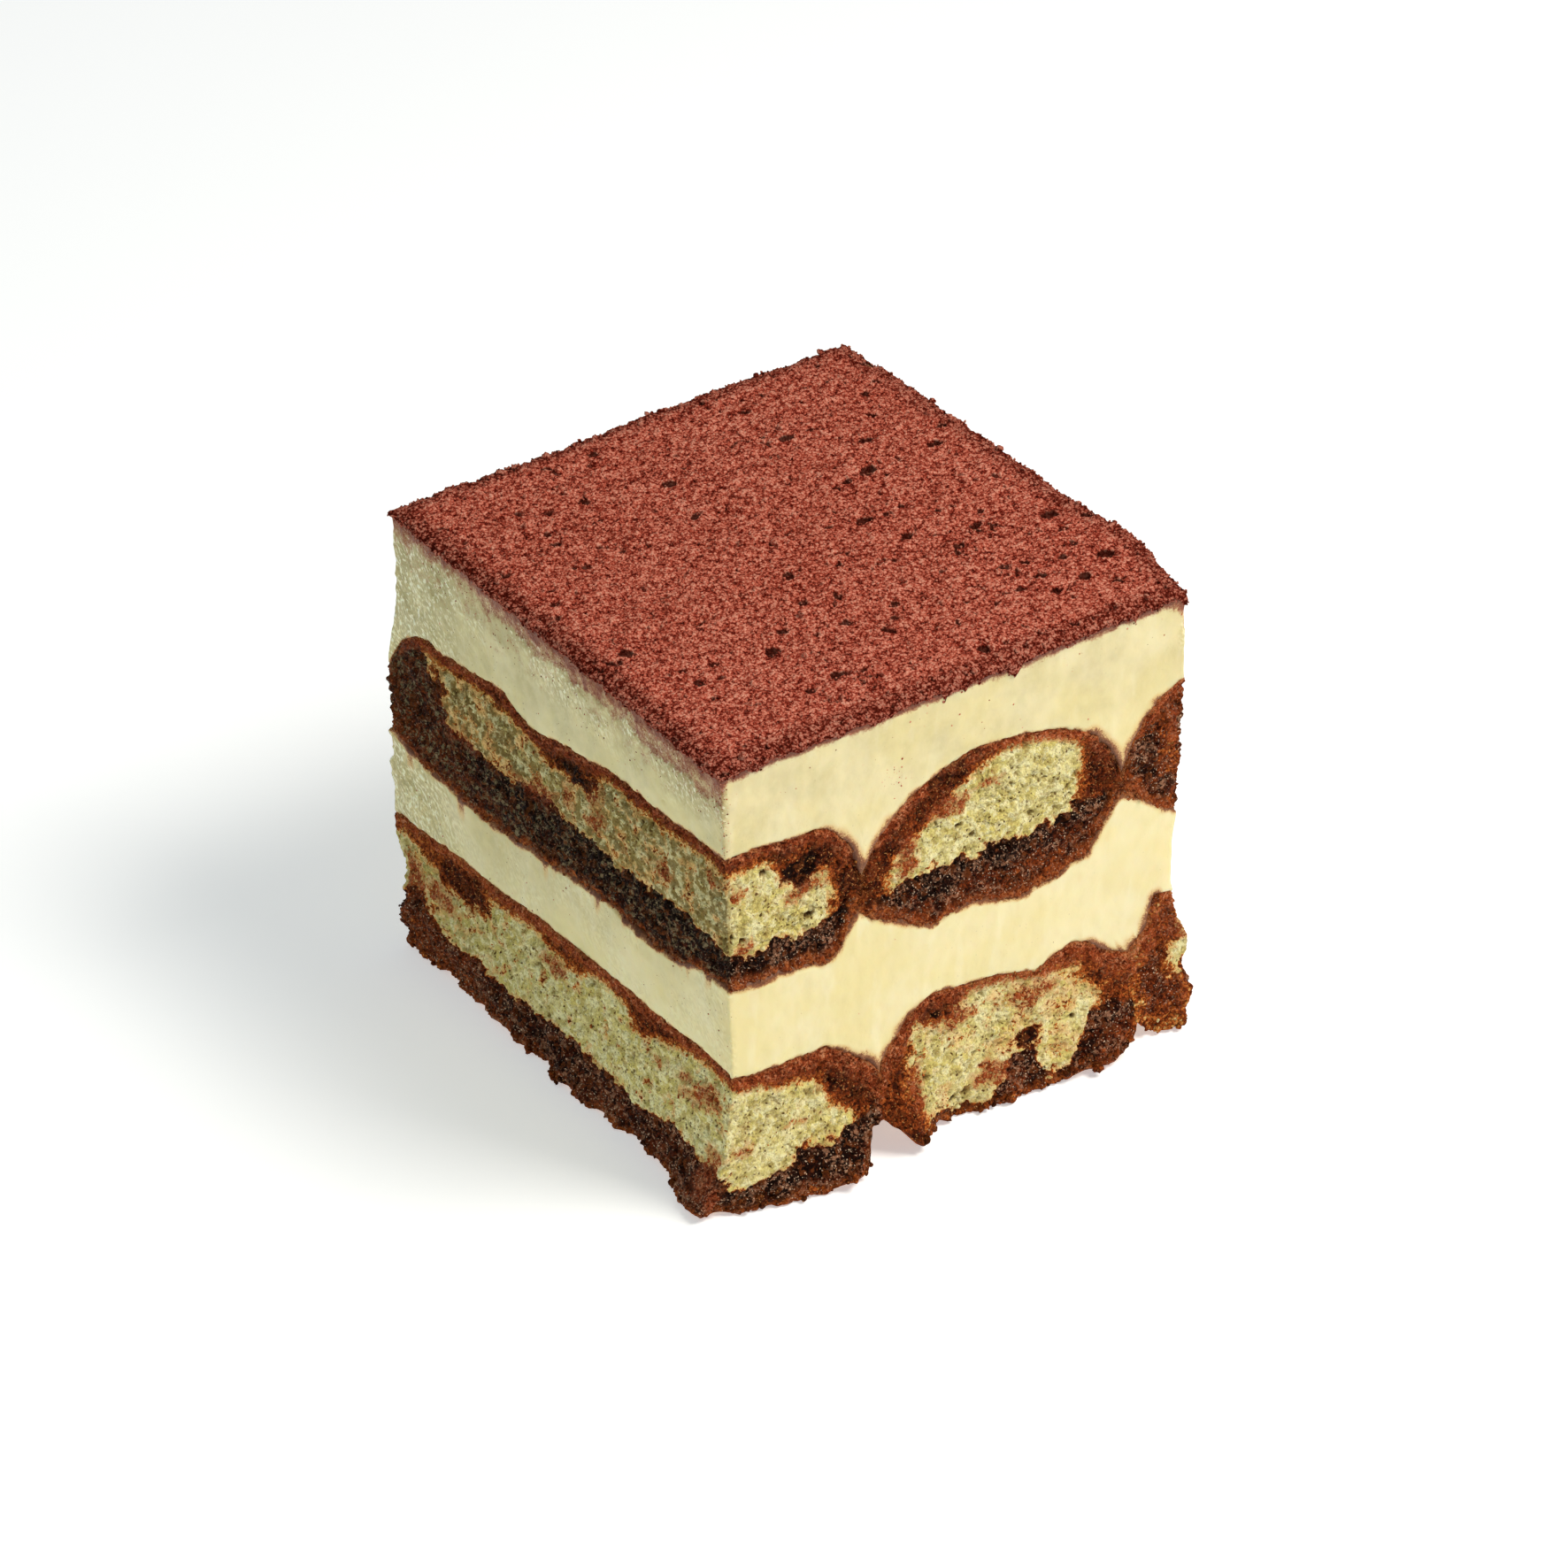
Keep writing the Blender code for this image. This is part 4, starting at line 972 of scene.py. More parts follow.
def ladyfinger(name):
    f = FINGERS[name]
    x0, x1 = f["x0"], f["x1"]
    upper = name in UPPER
    a = stations(x0, x1, FINE)
    sample = np.linspace(x0, x1, 40)
    tall = np.percentile(finger_top(name, sample, sample * 0 - 30) - finger_base(name, sample, sample * 0 - 30), 75)
    t = stations(0, 1, FINE / tall)
    y_left = stations(-HALF_D, HALF_D, FINE) if x0 == -HALF_W else coarse(-HALF_D, HALF_D)
    y_right = stations(-HALF_D, HALF_D, FINE) if x1 == HALF_W else coarse(-HALF_D, HALF_D)
    shell = Shell(a, t, y_left, y_right, None)
    x, y, share = shell.param.T
    top, base = finger_top(name, x, y), finger_base(name, x, y)
    slope = slopes(lambda u, v: finger_top(name, np.clip(u, x0, x1), v), x, y)
    lap = LAP * 0.6 * np.minimum(slope, 2.0)
    z = base + (top - base) * share
    z = z + lap * smooth(0.85, 1.0, share) - (lap * smooth(0.15, 0.0, share) if upper else 0)
    q = np.stack([x, y, z], 1)
    shell.unit = q
    soak, crust, rim, out, more = finger_fields(name, q, top, base, slope)

    normal, own, _ = outward(q)
    # relief: grains at their own heights where the crumb is torn open, pinholes where it was cut clean
    bent = q + jitter(q, 0.22, 0.8, 161)
    one, two, pick = granules(bent, 0.95, 163)
    fine_one, fine_two, fine_pick = granules(bent, 0.55, 167)
    torn = smooth(-0.4, 0.3, fbm(q, 4.5, 2, 171))
    torn = np.maximum(torn, smooth(0.15, 0.6, soak) * 0.8)
    gaps = smooth(0.3, 0.02, two - one)
    fine_gaps = smooth(0.32, 0.04, fine_two - fine_one)
    open_q = q + jitter(q, 0.35, 0.9, 175)
    big, _ = pores(open_q * np.array([1.0, 1.0, 1.3]), 2.1, 113, 0.1, 0.44, 0.5)
    small, _ = pores(open_q, 0.85, 117, 0.16, 0.5, 0.6)
    smeared = sides(q)[0] * (0.35 if upper else 0.6)
    big, small = big * (1 - smeared), small * (1 - 0.6 * smeared)
    dry = 1 - soak
    grain = (pick - 0.5) * mix(0.08, mix(0.5, 0.24, dry), torn) - gaps * mix(0.04, 0.18, torn)
    grain += (fine_pick - 0.5) * mix(0.08, mix(0.26, 0.16, dry), torn) - fine_gaps * 0.05 + perlin(q, 0.45, 173) * 0.1
    grain -= (big * 0.8 + small * 0.5) * mix(0.35, 1.0, dry)
    height = fbm(q, 2.6, 2, 101) * mix(0.14, 0.32, soak) + grain
    height -= smooth(0.2, 0.9, soak) * 0.12
    height += crust * 0.12
    height -= smooth(0.8, 0.1, np.abs(out)) * 0.1  # the soaked part has sunk away from the dry crumb
    edge = np.minimum((top - z) / slope, np.where(upper, (z - base) / slope, 9.0))
    height -= 0.4 * smooth(0.1, -0.4, edge + perlin(q, 0.6, 121) * 0.15)
    # painted shade: how deep each point lies in the relief's pores and gaps, for darkening it in colour
    pore_shade = np.clip((-0.1 - grain) / 0.5, 0, 1)

    p = shaped(q + jitter(q, 0.14, 1.1, 131) * own[:, None] + jitter(q, 0.05, 0.35, 137) * own[:, None])
    p += normal * (height * own)[:, None]
    if not upper:
        # the foot: broken lumps, and an edge that lifts off the surface here and there
        foot = smooth(5, 0.5, z) * own
        lumps = fbm(q, 3.0, 3, 141)
        p += normal * (foot * (lumps * 0.6 + 0.1))[:, None]
        lift = np.clip(fbm(np.stack([x, y, x * 0], 1), 7.0, 2, 145) * 1.6 + 0.25, 0, 1.5)
        p[:, 2] += lift * own * smooth(4.5, 0.0, z)
        p[:, 2] = np.maximum(p[:, 2], 0)
    state = np.stack([soak, crust, pore_shade, rim], 1)
    made = make_mesh("look_" + name, p, shell.tris, uv_of(shell), {"state": state, "more": more}, SPONGE)
    HOSTS.append(("finger", p, normal, own, state, edge, q))
    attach(made, "root")
    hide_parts(name)
    return made


# ---------------------------------------------------------------- cream
def cream_piece(name, low_row, low_lap, high, high_row):
    """A cream layer from the fingers under it up to a level or to the fingers above it."""
    a = stations(-HALF_W, HALF_W, FINE_CREAM)
    ys = stations(-HALF_D, HALF_D, FINE_CREAM)
    t = stations(0, 1, FINE_CREAM / (12.0 if high_row is None else 10.0))
    shell = Shell(a, t, ys, ys, None)
    x, y, share = shell.param.T

    def low_line(u, v):
        return row_line(low_row, "top", np.clip(u, -HALF_W, HALF_W), v)

    def high_line(u, v):
        return row_line(high_row, "base", np.clip(u, -HALF_W, HALF_W), v) if high_row else np.full(len(u), high)

    low, top = low_line(x, y), high_line(x, y)
    low_slope = slopes(low_line, x, y)
    top_slope = slopes(high_line, x, y) if high_row else np.ones(len(x))
    lap = LAP * 0.6
    z = mix(low - lap * np.minimum(low_slope, 2.5), top + (lap * np.minimum(top_slope, 2.5) if high_row else 0.25), share)
    q = np.stack([x, y, z], 1)
    shell.unit = q
    normal, own, _ = outward(q)
    left, right, front, back = sides(q)

    from_low = (z - low) / low_slope
    from_top = (top - z) / top_slope if high_row else np.full(len(x), 9.0)
    ragged = perlin(q, 0.6, 127) * 0.22 + fbm(q, 1.5, 2, 125) * 0.2
    height = fbm(q, 9.0, 2, 201) * 0.2 + fbm(q, 2.6, 2, 205) * 0.05
    drag = fbm(q * np.array([1.0, 1.0, 0.22]), 0.9, 2, 209)
    height += drag * 0.035
    rough_zone = smooth(0.05, 0.5, fbm(q, 8.0, 2, 213) + 0.25 * smooth(16, 28, y) * left + 0.2 * smooth(20, 29.5, -y) * left)
    ripple = 1 - np.abs(fbm(q + jitter(q, 0.5, 2.0, 217), 1.0, 2, 221)) * 2
    height += (left + right * 0.7 + back * 0.5) * rough_zone * (ripple * 0.09 - 0.05)
    stroked = (left + right * 0.7 + back * 0.5) * np.clip(smooth(7.0, 2.0, top - z) * (0 if high_row else 1) + smooth(12, 27, y) * left, 0, 1) * smooth(-0.45, 0.15, fbm(q, 5.0, 2, 261))
    drawn = np.stack([x, (y - z) * 0.7071, (y + z) * 0.7071 * 0.3], 1)
    height += stroked * (fbm(drawn, 1.15, 2, 263) * 0.3 + perlin(drawn, 0.7, 267) * 0.1)
    holes, _ = pores(q, 1.9, 225, 0.03, 0.13, 0.35)
    height -= holes * 0.9
    height -= 0.6 * smooth(0.25, -0.3, from_low + ragged)
    if high_row:
        height -= 0.6 * smooth(0.25, -0.3, from_top + ragged)

    # coffee in the cream: soft and wide beside the fingers' soaked sides, narrow over their crust
    offsets = np.arange(-6, 7) * 0.3
    lows = np.stack([low_line(x + d, y) for d in offsets])
    near_low = np.sqrt(offsets[:, None] ** 2 + np.maximum(z - lows, 0) ** 2).min(axis=0)
    steep = smooth(0.4, 1.6, (np.abs(np.diff(lows, axis=0)) / 0.3)[2:10].max(axis=0))
    wander = fbm(q, 2.2, 2, 231) * 0.35
    width = mix(0.55, 1.8, steep)
    lumpy = fbm(q, 1.6, 3, 257) * 0.5
    stain = smooth(1.0, 0.0, (near_low + wander * 0.5 + lumpy - 0.05) / width) ** 1.3 * mix(0.9, 1.0, steep)
    if high_row:
        steep_top = smooth(1.05, 1.8, top_slope)
        width_top = mix(0.7, 0.9, steep_top)
        stain = np.maximum(stain, smooth(1.0, 0.0, (from_top + wander * 0.5 + lumpy - 0.05) / width_top) ** 1.4 * 0.9)
    drips = smooth(0.15, 0.5, fbm(np.stack([x, y, z * 0.25], 1), 2.2, 3, 235)) * mix(0.3, 0.75, left)
    stain = np.clip(stain + drips * (smooth(4.0, 0.3, from_top) if high_row else 0), 0, 1)
    dust = np.zeros(len(x))
    if not high_row:
        along = np.stack([x, y, x * 0], 1)
        # on the left the knife pulled cocoa down over the cream, as far as a torn lip
        reach = mix(1.1, mix(3.0, 4.4, smooth(10, -20, y)), left + right * 0.8 + back * 0.4)
        reach = np.maximum(reach * (0.75 + 0.5 * fbm(along, 5.0, 3, 241)) + fbm(q, 1.2, 2, 243) * 0.35, 0.25)
        lip = smooth(0.25, -0.12, (top - z) - reach) * (left * smooth(24, 12, y) + right * 0.6 + back * 0.3)
        height -= lip * 0.16
        dust = smooth(1.3, 0.0, (top - 0.2 - z) / reach) ** mix(1.3, 1.1, left) * mix(1.0, 0.9, left)
        dust = np.maximum(dust, 0.3 * left * smooth(9.0, 1.0, top - z + 2.5 * fbm(along, 4.0, 3, 271)))
        dust = np.maximum(dust, lip * 0.6)
        dust = np.clip(dust + 0.45 * smooth(0.25, 0.6, fbm(q, 1.6, 3, 245)) * smooth(9, 3, top - z) * left, 0, 1)
    speckle = np.clip(0.25 + 0.75 * left + 0.4 * right + 0.2 * back, 0, 1) * smooth(-0.3, 0.35, fbm(q, 6.0, 2, 247))
    # painted shade and veil: the cream is painted darker on the left cut (most at its top, towards its back and in a
    # band at mid height) and at the tops of the front and right; on the upper left a thin veil of cocoa and coffee
    # dragged over by the cut adds to it
    painted_shade_and_veil = (left * (smooth(38, 45, z) * 0.55 + 0.6 * smooth(45, 53, z)) + left * (0.04 + 0.5 * smooth(18, 26, z) * smooth(30, 27, z)) + front * (0.1 + smooth(37, 50, z) * 0.45) + left * smooth(-12, 24, y) * 0.5 + right * 0.3 * smooth(40, 50, z)) * (0.5 + 0.5 * smooth(-0.4, 0.4, fbm(q, 5.0, 3, 249)))
    torn_top = smooth(9.0, 3.0, top - z) if not high_row else 0.25
    torn = np.clip((left + right * 0.7 + back * 0.5) * smooth(-0.25, 0.3, fbm(q, 6.0, 2, 253) + 0.5 * smooth(14, 28, y) * left) * np.maximum(torn_top, smooth(12, 27, y) * left), 0, 1)
    p = shaped(q + jitter(q, 0.1, 1.4, 251) * own[:, None])
    p += normal * (height * own)[:, None]
    state = np.stack([stain, dust, speckle, painted_shade_and_veil], 1)
    made = make_mesh("look_" + name, p, shell.tris, uv_of(shell), {"state": state, "more": np.stack([torn, torn * 0], 1)}, CREAM)
    HOSTS.append(("cream", p, normal, own, state, np.minimum(from_low, from_top), q))
    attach(made, "root")
    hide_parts(name)
    return made


# ---------------------------------------------------------------- cocoa
def cocoa_piece():
    a = stations(-HALF_W, HALF_W, FINE_COCOA)
    ys = stations(-HALF_D, HALF_D, FINE_COCOA)
    t = np.linspace(0, 1, 10)
    shell = Shell(a, t, ys, ys, None, top_grid=True)
    x, y, share = shell.param.T
    left, right, front, back = sides(np.stack([x, y, x * 0], 1))
    rim = np.maximum.reduce([left, right, front, back])
    flat = np.stack([x, y, x * 0], 1)
    hang = 0.1 + 0.8 * smooth(-0.3, 0.8, fbm(flat, 2.4, 3, 301)) + 0.6 * smooth(0.35, 0.6, perlin(flat, 0.9, 305))
    hang = hang + 1.1 * smooth(1.3, 0.2, np.hypot(x - 7.5, (y + 30) * 2))  # the clump that hangs over the front
    low = CREAM_TOP - 0.15 - hang * rim
    top = HEIGHT - 0.25 + 0.0 * x
    z = mix(low, top, share)
    q = np.stack([x, y, z], 1)
    shell.unit = q
    up = smooth(0.55, 1.0, share)

    roll = fbm(flat, 12.0, 2, 311) * 0.3
    swirl = flat + jitter(flat, 0.35, 1.0, 325) * np.array([1.0, 1.0, 0.0])
    clumps = fbm(flat, 2.4, 3, 315) * 0.2 + perlin(swirl * np.array([1.2, 0.8, 1.0]), 0.95, 317) * 0.14
    grains = perlin(flat, 0.62, 319) * 0.06 + perlin(flat, 0.36, 323) * 0.1
    rng = np.random.default_rng(5)
    salt = rng.uniform(-1, 1, len(x)) * 0.06
    pit_a, _ = pores(swirl * np.array([0.8, 1.0, 1.0]), 2.5, 327, 0.04, 0.34, 0.75)
    pit_b, _ = pores(swirl * np.array([1.25, 0.8, 1.0]), 1.3, 331, 0.06, 0.32, 0.6)
    one, two, pick = granules(swirl, 2.2, 333)
    crack = smooth(0.1, 0.0, two - one) * smooth(0.25, 0.5, fbm(flat, 3.4, 2, 337)) * 0.35
    more_right = 0.6 + 0.6 * smooth(-12, 25, x)
    pits = (pit_a * 1.0 + pit_b * 0.8) * more_right + crack * 1.3
    near = np.minimum(HALF_W - np.abs(x), HALF_D - np.abs(y))
    near = near + perlin(flat, 2.0, 335) * 0.35
    lumpy = fbm(flat, 4.2, 3, 339) * 0.55 * rim
    fall = smooth(1.3, -0.3, near)
    height = roll + clumps + grains + salt - pits - fall * 0.4
    normal, own, _ = outward(q)
    side_relief = fbm(q, 0.9, 3, 341) * 0.22 + fbm(q, 2.6, 2, 345) * 0.25 + salt * 1.4
    proud = mix(-0.2, 0.3, smooth(0.0, 0.5, share)) - 0.2 * smooth(0.75, 1.0, share)
    p = shaped(q + jitter(q, 0.1, 0.8, 351) * own[:, None])
    p += normal * ((side_relief + proud) * own)[:, None]
    p[:, 2] += (height + lumpy * smooth(0, 15, x + y)) * up
    # relief: how high the grains and clumps stand, for painting the higher ones lighter as painted light
    relief = np.clip(0.5 + (clumps * 0.6 + grains + salt) * 1.5, 0, 1)
    # edge: painted shade along the top's edges, widest along the left, and over the sides below the top
    from_left = x + HALF_W + perlin(flat, 2.4, 343) * 0.7 + perlin(flat, 0.7, 347) * 0.3
    edge = np.maximum(smooth(3.8, 0.6, near) * 0.78, smooth(2.6, 0.5, from_left))
    edge = np.maximum(edge, own * (1 - up))
    # painted shade: how deep the pits and cracks are, for darkening them in colour
    pit_shade = np.clip(pits / 0.4, 0, 1) * up
    state = np.stack([relief, edge, pit_shade, own * 0], 1)
    made = make_mesh("look_cocoa_top", p, shell.tris, uv_of(shell), {"state": state}, COCOA)
    HOSTS.append(("cocoa", p, mix(normal * own[:, None], np.array([0.0, 0.0, 1.0]), up[:, None]), np.maximum(own, up), state, near, q))
    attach(made, "root")
    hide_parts("cocoa_top")
    return made


# ---------------------------------------------------------------- crumbs, grains and specks
def ball(rounds):
    """A unit icosahedron, its faces split rounds times."""
    g = (1 + 5**0.5) / 2
    points = np.array([(-1, g, 0), (1, g, 0), (-1, -g, 0), (1, -g, 0), (0, -1, g), (0, 1, g), (0, -1, -g), (0, 1, -g), (g, 0, -1), (g, 0, 1), (-g, 0, -1), (-g, 0, 1)], float)
    faces = [(0, 11, 5), (0, 5, 1), (0, 1, 7), (0, 7, 10), (0, 10, 11), (1, 5, 9), (5, 11, 4), (11, 10, 2), (10, 7, 6), (7, 1, 8), (3, 9, 4), (3, 4, 2), (3, 2, 6), (3, 6, 8), (3, 8, 9), (4, 9, 5), (2, 4, 11), (6, 2, 10), (8, 6, 7), (9, 8, 1)]
    points = list(points / np.linalg.norm(points[0]))
    for _ in range(rounds):
        split, seen = [], {}

        def half(i, j):
            key = (min(i, j), max(i, j))
            if key not in seen:
                m = points[i] + points[j]
                points.append(m / np.linalg.norm(m))
                seen[key] = len(points) - 1
            return seen[key]

        for i, j, k in faces:
            a, b, c = half(i, j), half(j, k), half(k, i)
            split += [(i, a, c), (j, b, a), (k, c, b), (a, b, c)]
        faces = split
    return np.array(points), np.array(faces)


def blobs(centres, normals, radii, seed, rounds=0, flat=0.8, ragged=0.3, area=(0.0, 0.0, 1.0, 1.0)):
    """Points, triangles and texture corners of many small irregular lumps, each turned and stretched its own way."""
    rng = np.random.default_rng(seed)
    ball_points, ball_faces = ball(rounds)
    n, m, k = len(centres), len(ball_points), len(ball_faces)
    turn = rng.normal(size=(n, 4))
    turn /= np.linalg.norm(turn, axis=1)[:, None]
    w, x, y, z = turn.T
    spin = np.stack([1 - 2 * (y * y + z * z), 2 * (x * y - z * w), 2 * (x * z + y * w), 2 * (x * y + z * w), 1 - 2 * (x * x + z * z), 2 * (y * z - x * w), 2 * (x * z - y * w), 2 * (y * z + x * w), 1 - 2 * (x * x + y * y)], 1).reshape(n, 3, 3)
    stretch = rng.uniform(0.7, 1.3, (n, 1, 3))
    points = ball_points[None] * (1 + rng.uniform(-ragged, ragged, (n, m, 1))) * stretch
    points = np.einsum("nij,nmj->nmi", spin, points) * radii[:, None, None]
    points -= normals[:, None, :] * np.einsum("nmi,ni->nm", points, normals)[:, :, None] * (1 - flat)
    points = (points + centres[:, None, :]).reshape(-1, 3)
    tris = (ball_faces[None] + np.arange(n)[:, None, None] * m).reshape(-1, 3)
    across = int(math.ceil(math.sqrt(n)))
    inside = int(math.ceil(math.sqrt(k / 2)))
    cell = 1.0 / across
    slot = cell / inside
    blob, face = np.divmod(np.arange(n * k), k)
    square = face // 2
    u = (blob % across) * cell + (square % inside) * slot
    v = (blob // across) * cell + (square // inside) * slot
    corners = np.where((face % 2)[:, None, None] == 0, np.array([(0.08, 0.08), (0.82, 0.08), (0.08, 0.82)]), np.array([(0.92, 0.92), (0.18, 0.92), (0.92, 0.18)]))
    uv = np.stack([u, v], 1)[:, None, :] + corners * slot
    uv = np.array(area[:2]) + uv * (np.array(area[2:]) - np.array(area[:2]))
    return points, tris, uv, m


def sow(weights, count, seed):
    """Places on a surface, picked by weight."""
    rng = np.random.default_rng(seed)
    keys = rng.random(len(weights)) ** (1.0 / np.maximum(weights, 1e-12))
    keys[weights <= 0] = -1
    return np.argsort(-keys)[:count]


def gather(kind):
    hosts = [h for h in HOSTS if h[0] == kind]
    return [np.concatenate([h[i] for h in hosts]) for i in range(1, 7)]


def crumbs():
    """Loose crumb on the cuts: fuzz along the soaked edges, pale grains on the dry crumb, and lumps round the foot."""
    p, normal, own, state, edge, q = gather("finger")
    rng = np.random.default_rng(401)
    cut = own > 0.99
    soak = state[:, 0]
    parts = []
    for weights, count, low, high, out, rounds, flat, area in (
        (cut * smooth(0.5, 0.0, np.abs(edge)) * (soak > 0.3), 2000, 0.07, 0.17, 0.35, 0, 0.8, (0, 0.5, 0.5, 1)),
        (cut * (soak < 0.2), 1700, 0.09, 0.2, 0.1, 0, 0.75, (0.5, 0.5, 1, 1)),
        (cut * (soak > 0.5) * (edge > 0.3), 1200, 0.09, 0.2, 0.15, 0, 0.8, (0, 0, 0.5, 0.5)),
        (cut * smooth(3.2, 0.3, p[:, 2]) * (q[:, 2] < 4) * (1 - 0.65 * (q[:, 0] < -HALF_W + 0.1)), 240, 0.2, 0.5, 0.3, 1, 0.8, (0.5, 0, 1, 0.5)),
    ):
        ids = sow(weights.astype(float), count, 403 + count)
        radii = low + (high - low) * rng.random(len(ids)) ** 2
        centres = p[ids] + normal[ids] * (radii * out)[:, None]
        if rounds:
            centres[:, 2] = np.maximum(centres[:, 2], radii * 1.05 + 0.05)
        points, tris, uv, m = blobs(centres, normal[ids], radii, 405 + count, rounds, flat, 0.3, area)
        own_state = state[ids].copy()
        # loose crumbs get no painted pore shade
        own_state[:, 2] = 0
        own_state[:, 0] = np.clip(own_state[:, 0] + rng.normal(0, 0.12, len(ids)), 0, 1)
        wetted = (own_state[:, 0] > 0.25).astype(float)
        # channels: a little painted glow where wet, a little of the painted left-cut shade on every crumb, no banding,
        # and reached where wet
        own_more = np.stack([wetted * 0.3, 0.3 + 0 * wetted, 0 * wetted, wetted], 1)
        parts.append((points, tris, uv, np.repeat(own_state, m, axis=0), np.repeat(own_more, m, axis=0)))
    return merge("crumbs", parts, SPONGE)


def cocoa_grains():
    """Grains of cocoa on the top, thicker along its edges, and a few lumps."""
    p, normal, own, state, near, q = gather("cocoa")
    rng = np.random.default_rng(411)
    top = (normal[:, 2] > 0.7) | (own > 0.9)
    parts = []
    for weights, count, low, high, rounds, area in (
        (top * (1 + 1.6 * smooth(2.0, 0.0, near)), 4900, 0.09, 0.2, 0, (0, 0.3, 1, 1)),
        (top * (0.3 + 2.0 * smooth(2.5, 0.2, near)) * (normal[:, 2] > 0.7), 110, 0.25, 0.5, 1, (0, 0, 0.3, 0.3)),
    ):
        ids = sow(weights.astype(float), count, 413 + count)
        radii = low + (high - low) * rng.random(len(ids)) ** 2
        centres = p[ids] + normal[ids] * (radii * 0.35)[:, None]
        points, tris, uv, m = blobs(centres, normal[ids], radii, 415 + count, rounds, 0.85, 0.25, area)
        own_state = state[ids].copy()
        own_state[:, 0] = rng.uniform(0.35, 1.0, len(ids))
        # grains carry less of the painted pit shade
        own_state[:, 2] *= 0.3
        parts.append((points, tris, uv, np.repeat(own_state, m, axis=0)))
    return merge("cocoa_grains", parts, COCOA)


def specks():
    """Specks of cocoa on the cream: many under the top edge and on the left cut, few elsewhere."""
    p, normal, own, state, edge, q = gather("cream")
    rng = np.random.default_rng(421)
    left, right, front, back = sides(q)
    under_top = smooth(7.0, 0.2, CREAM_TOP - q[:, 2]) * (q[:, 2] > 40)
    weights = (own > 0.99) * (0.06 + left * 0.22 + under_top * (0.4 + 1.0 * left) + 3.0 * state[:, 1]) * (edge > 0.4) * smooth(-0.6, 0.5, fbm(q, 5.0, 2, 423))
    weights = weights + own * front * 8.0 * np.exp(-((q[:, 0] + 7.3) ** 2 + (q[:, 2] - 46.9) ** 2) / 1.6)
    weights = weights + own * (front + left) * 5.0 * smooth(1.2, 0.1, np.hypot(q[:, 0] + 29, q[:, 1] + 30)) * smooth(34, 46, q[:, 2])
    ids = sow(weights, 1250, 425)
    radii = 0.035 + 0.08 * rng.random(len(ids)) ** 3
    centres = p[ids] + normal[ids] * (radii * 0.1)[:, None]
    points, tris, uv, m = blobs(centres, normal[ids], radii, 427, 0, 0.5, 0.25)
    own_state = np.zeros((len(ids), 4))
    own_state[:, 0] = rng.uniform(0.3, 0.9, len(ids))
    # specks on the left cut take the cocoa's painted edge shade
    own_state[:, 1] = np.where(left[ids] > 0.5, rng.uniform(0.2, 1.0, len(ids)), 0.0)
    return merge("cocoa_specks", [(points, tris, uv, np.repeat(own_state, m, axis=0))], COCOA)


def merge(name, parts, material):
    first, points, tris, uvs, states, mores = 0, [], [], [], [], []
    for p, t, uv, state, *more in parts:
        points.append(p)
        tris.append(t + first)
        uvs.append(uv)
        states.append(state)
        mores += more
        first += len(p)
    fields = {"state": np.concatenate(states)}
    if mores:
        fields["more"] = np.concatenate(mores)
    made = make_mesh(name, np.concatenate(points), np.concatenate(tris), np.concatenate(uvs), fields, material)
    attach(made, "root")
    return made


def clock(what):
    print(f"{what}: {time.time() - START:.1f} s", flush=True)


for finger in FINGERS:
    ladyfinger(finger)
    clock(finger)
cream_piece("cream_middle", LOWER, LAP, None, UPPER)
cream_piece("cream_top", UPPER, LAP, CREAM_TOP, None)
clock("cream")
cocoa_piece()
clock("cocoa")
crumbs()
cocoa_grains()
specks()
clock("crumbs, grains and specks")


# ---------------------------------------------------------------- floor, light and camera
def floor():
    mesh = bpy.data.meshes.new("floor")
    half, low = 1.6, -0.0002
    mesh.from_pydata([(-half, -half, low), (half, -half, low), (half, half, low), (-half, half, low)], [], [(0, 1, 2, 3)])
    made = bpy.data.objects.new("floor", mesh)
    bpy.context.scene.collection.objects.link(made)
    look = Look("floor")
    mesh.materials.append(look.set(color=(0.9, 0.9, 0.9), rough=0.9, spec=0.05, glow=(1.0, 1.0, 1.0), glow_strength=0.42))


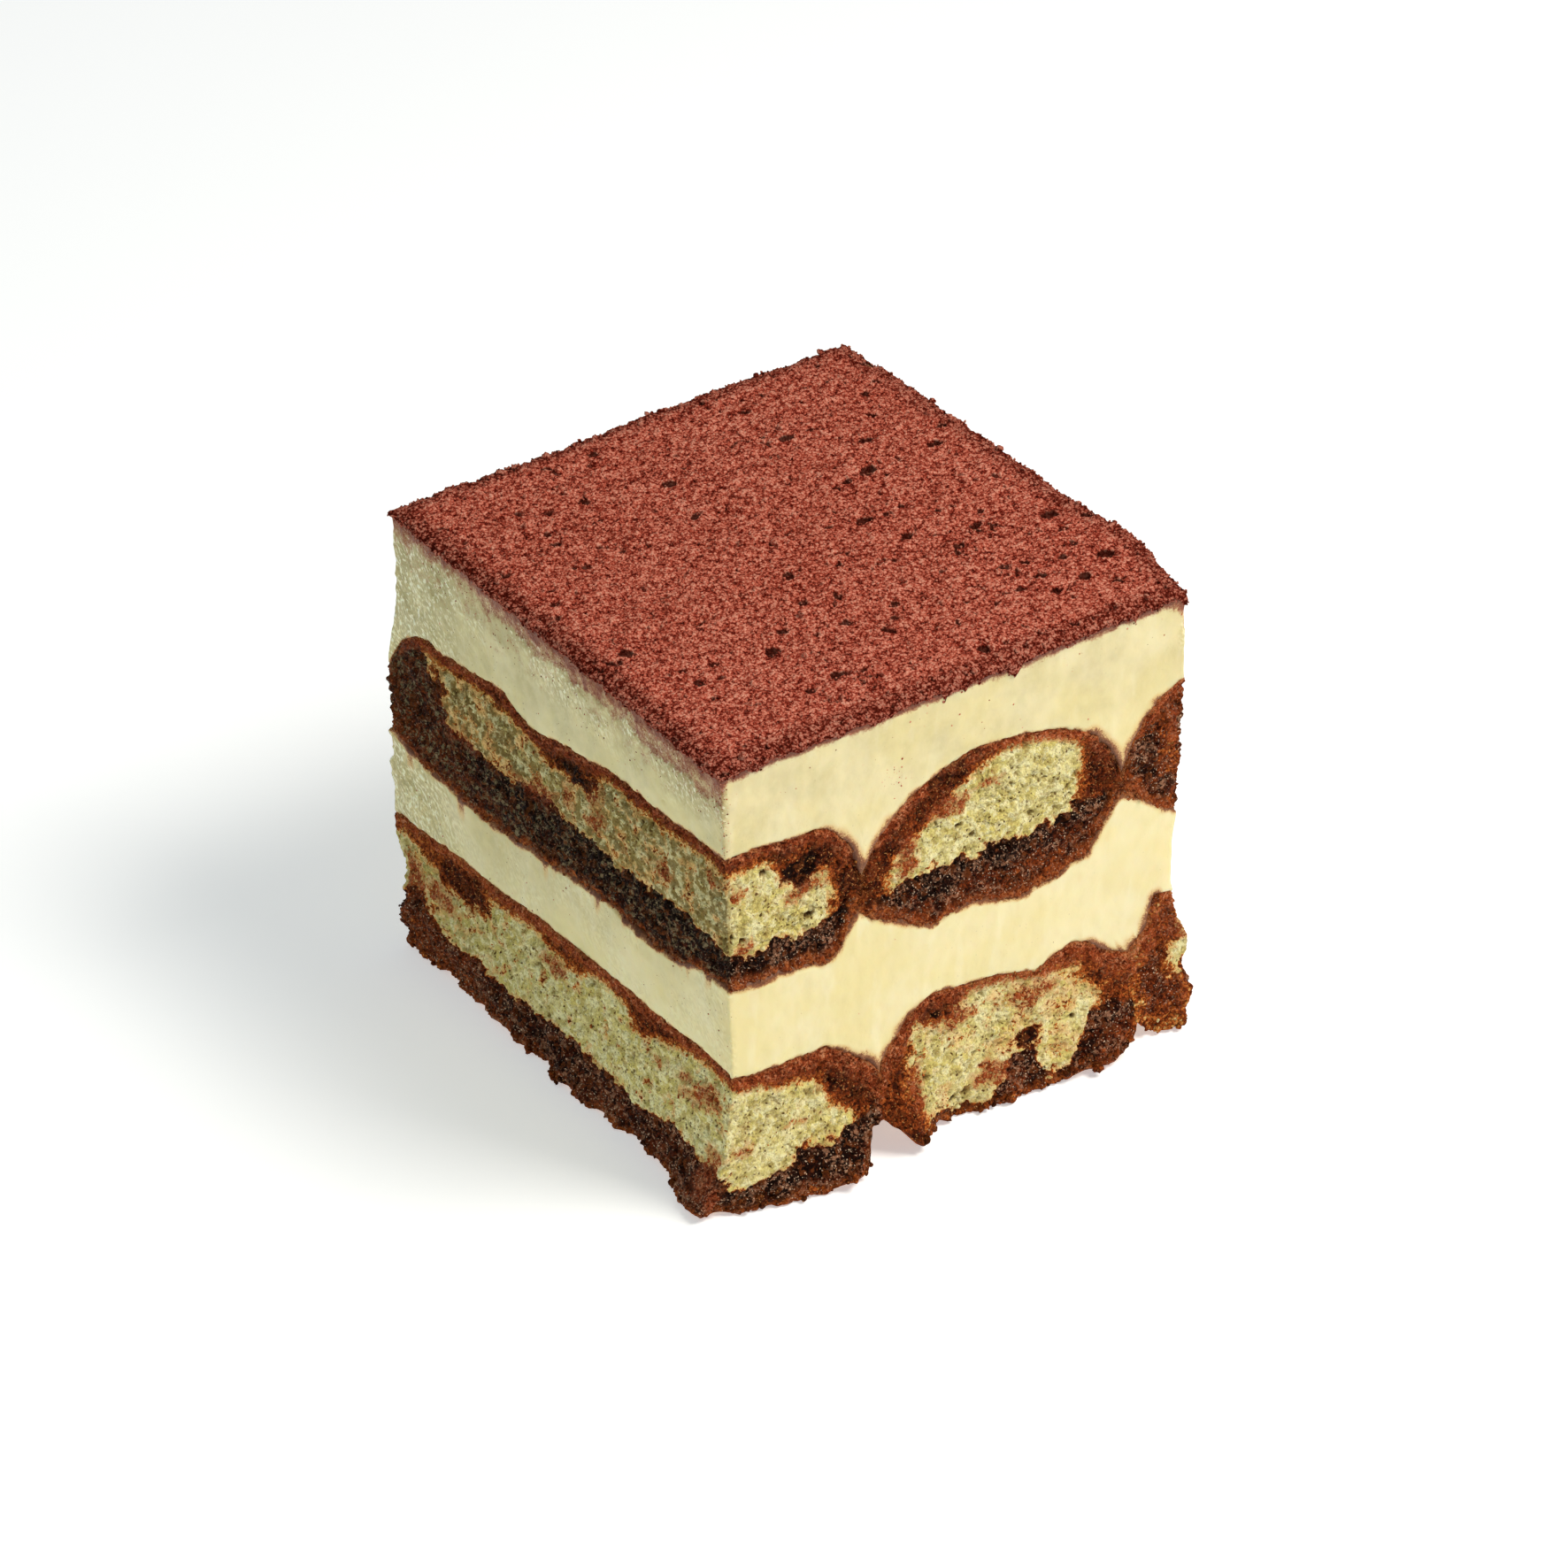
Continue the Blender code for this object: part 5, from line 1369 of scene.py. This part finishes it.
def area(name, where, size, power, colour, aim=(0, 0, 0.028)):
    data = bpy.data.lights.new(name, "AREA")
    data.shape = "SQUARE"
    data.size, data.energy, data.color = size, power, colour
    lamp = bpy.data.objects.new(name, data)
    lamp.location = where
    lamp.rotation_mode = "QUATERNION"
    lamp.rotation_quaternion = (Vector(aim) - Vector(where)).to_track_quat("-Z", "Y")
    bpy.context.scene.collection.objects.link(lamp)


def studio():
    world = bpy.data.worlds.new("studio")
    bpy.context.scene.world = world
    world.use_nodes = True
    back = world.node_tree.nodes["Background"]
    back.inputs["Color"].default_value = (0.86, 0.93, 1.0, 1.0)
    back.inputs["Strength"].default_value = 0.24
    # azimuth: 0 looks along +Y from the front, positive to the right
    for name, azimuth, elevation, far, size, power, colour in (
        ("key", 36, 57, 0.55, 0.22, 2.38, (0.97, 0.935, 0.86)),
        ("fill", -100, 30, 0.7, 0.5, 0.62, (0.7, 1.0, 0.9)),
    ):
        az, el = math.radians(azimuth), math.radians(elevation)
        area(name, (math.sin(az) * math.cos(el) * far, -math.cos(az) * math.cos(el) * far, math.sin(el) * far), size, power, colour)


def camera():
    data = bpy.data.cameras.new("camera")
    data.sensor_width, data.lens = 36.0, 182.85
    data.clip_start, data.clip_end = 0.05, 20
    az, el, far = math.radians(-35.2), math.radians(34.3), 0.842
    back = Vector((math.sin(az) * math.cos(el), -math.cos(az) * math.cos(el), math.sin(el)))
    aim = Vector((-0.00009 * math.cos(az), -0.00009 * math.sin(az), 0.02643))
    cam = bpy.data.objects.new("camera", data)
    cam.location = aim + back * far
    cam.rotation_mode = "QUATERNION"
    cam.rotation_quaternion = (-back).to_track_quat("-Z", "Y")
    bpy.context.scene.collection.objects.link(cam)
    bpy.context.scene.camera = cam


floor()
studio()
camera()
scene = bpy.context.scene
scene.view_settings.view_transform = "Standard"
scene.view_settings.look = "None"

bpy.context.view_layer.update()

total = 0
for piece in PIECES:
    count = len(piece.data.polygons)
    total += count
    print(piece.name, count)
print("triangles in all", total)
clock("made")
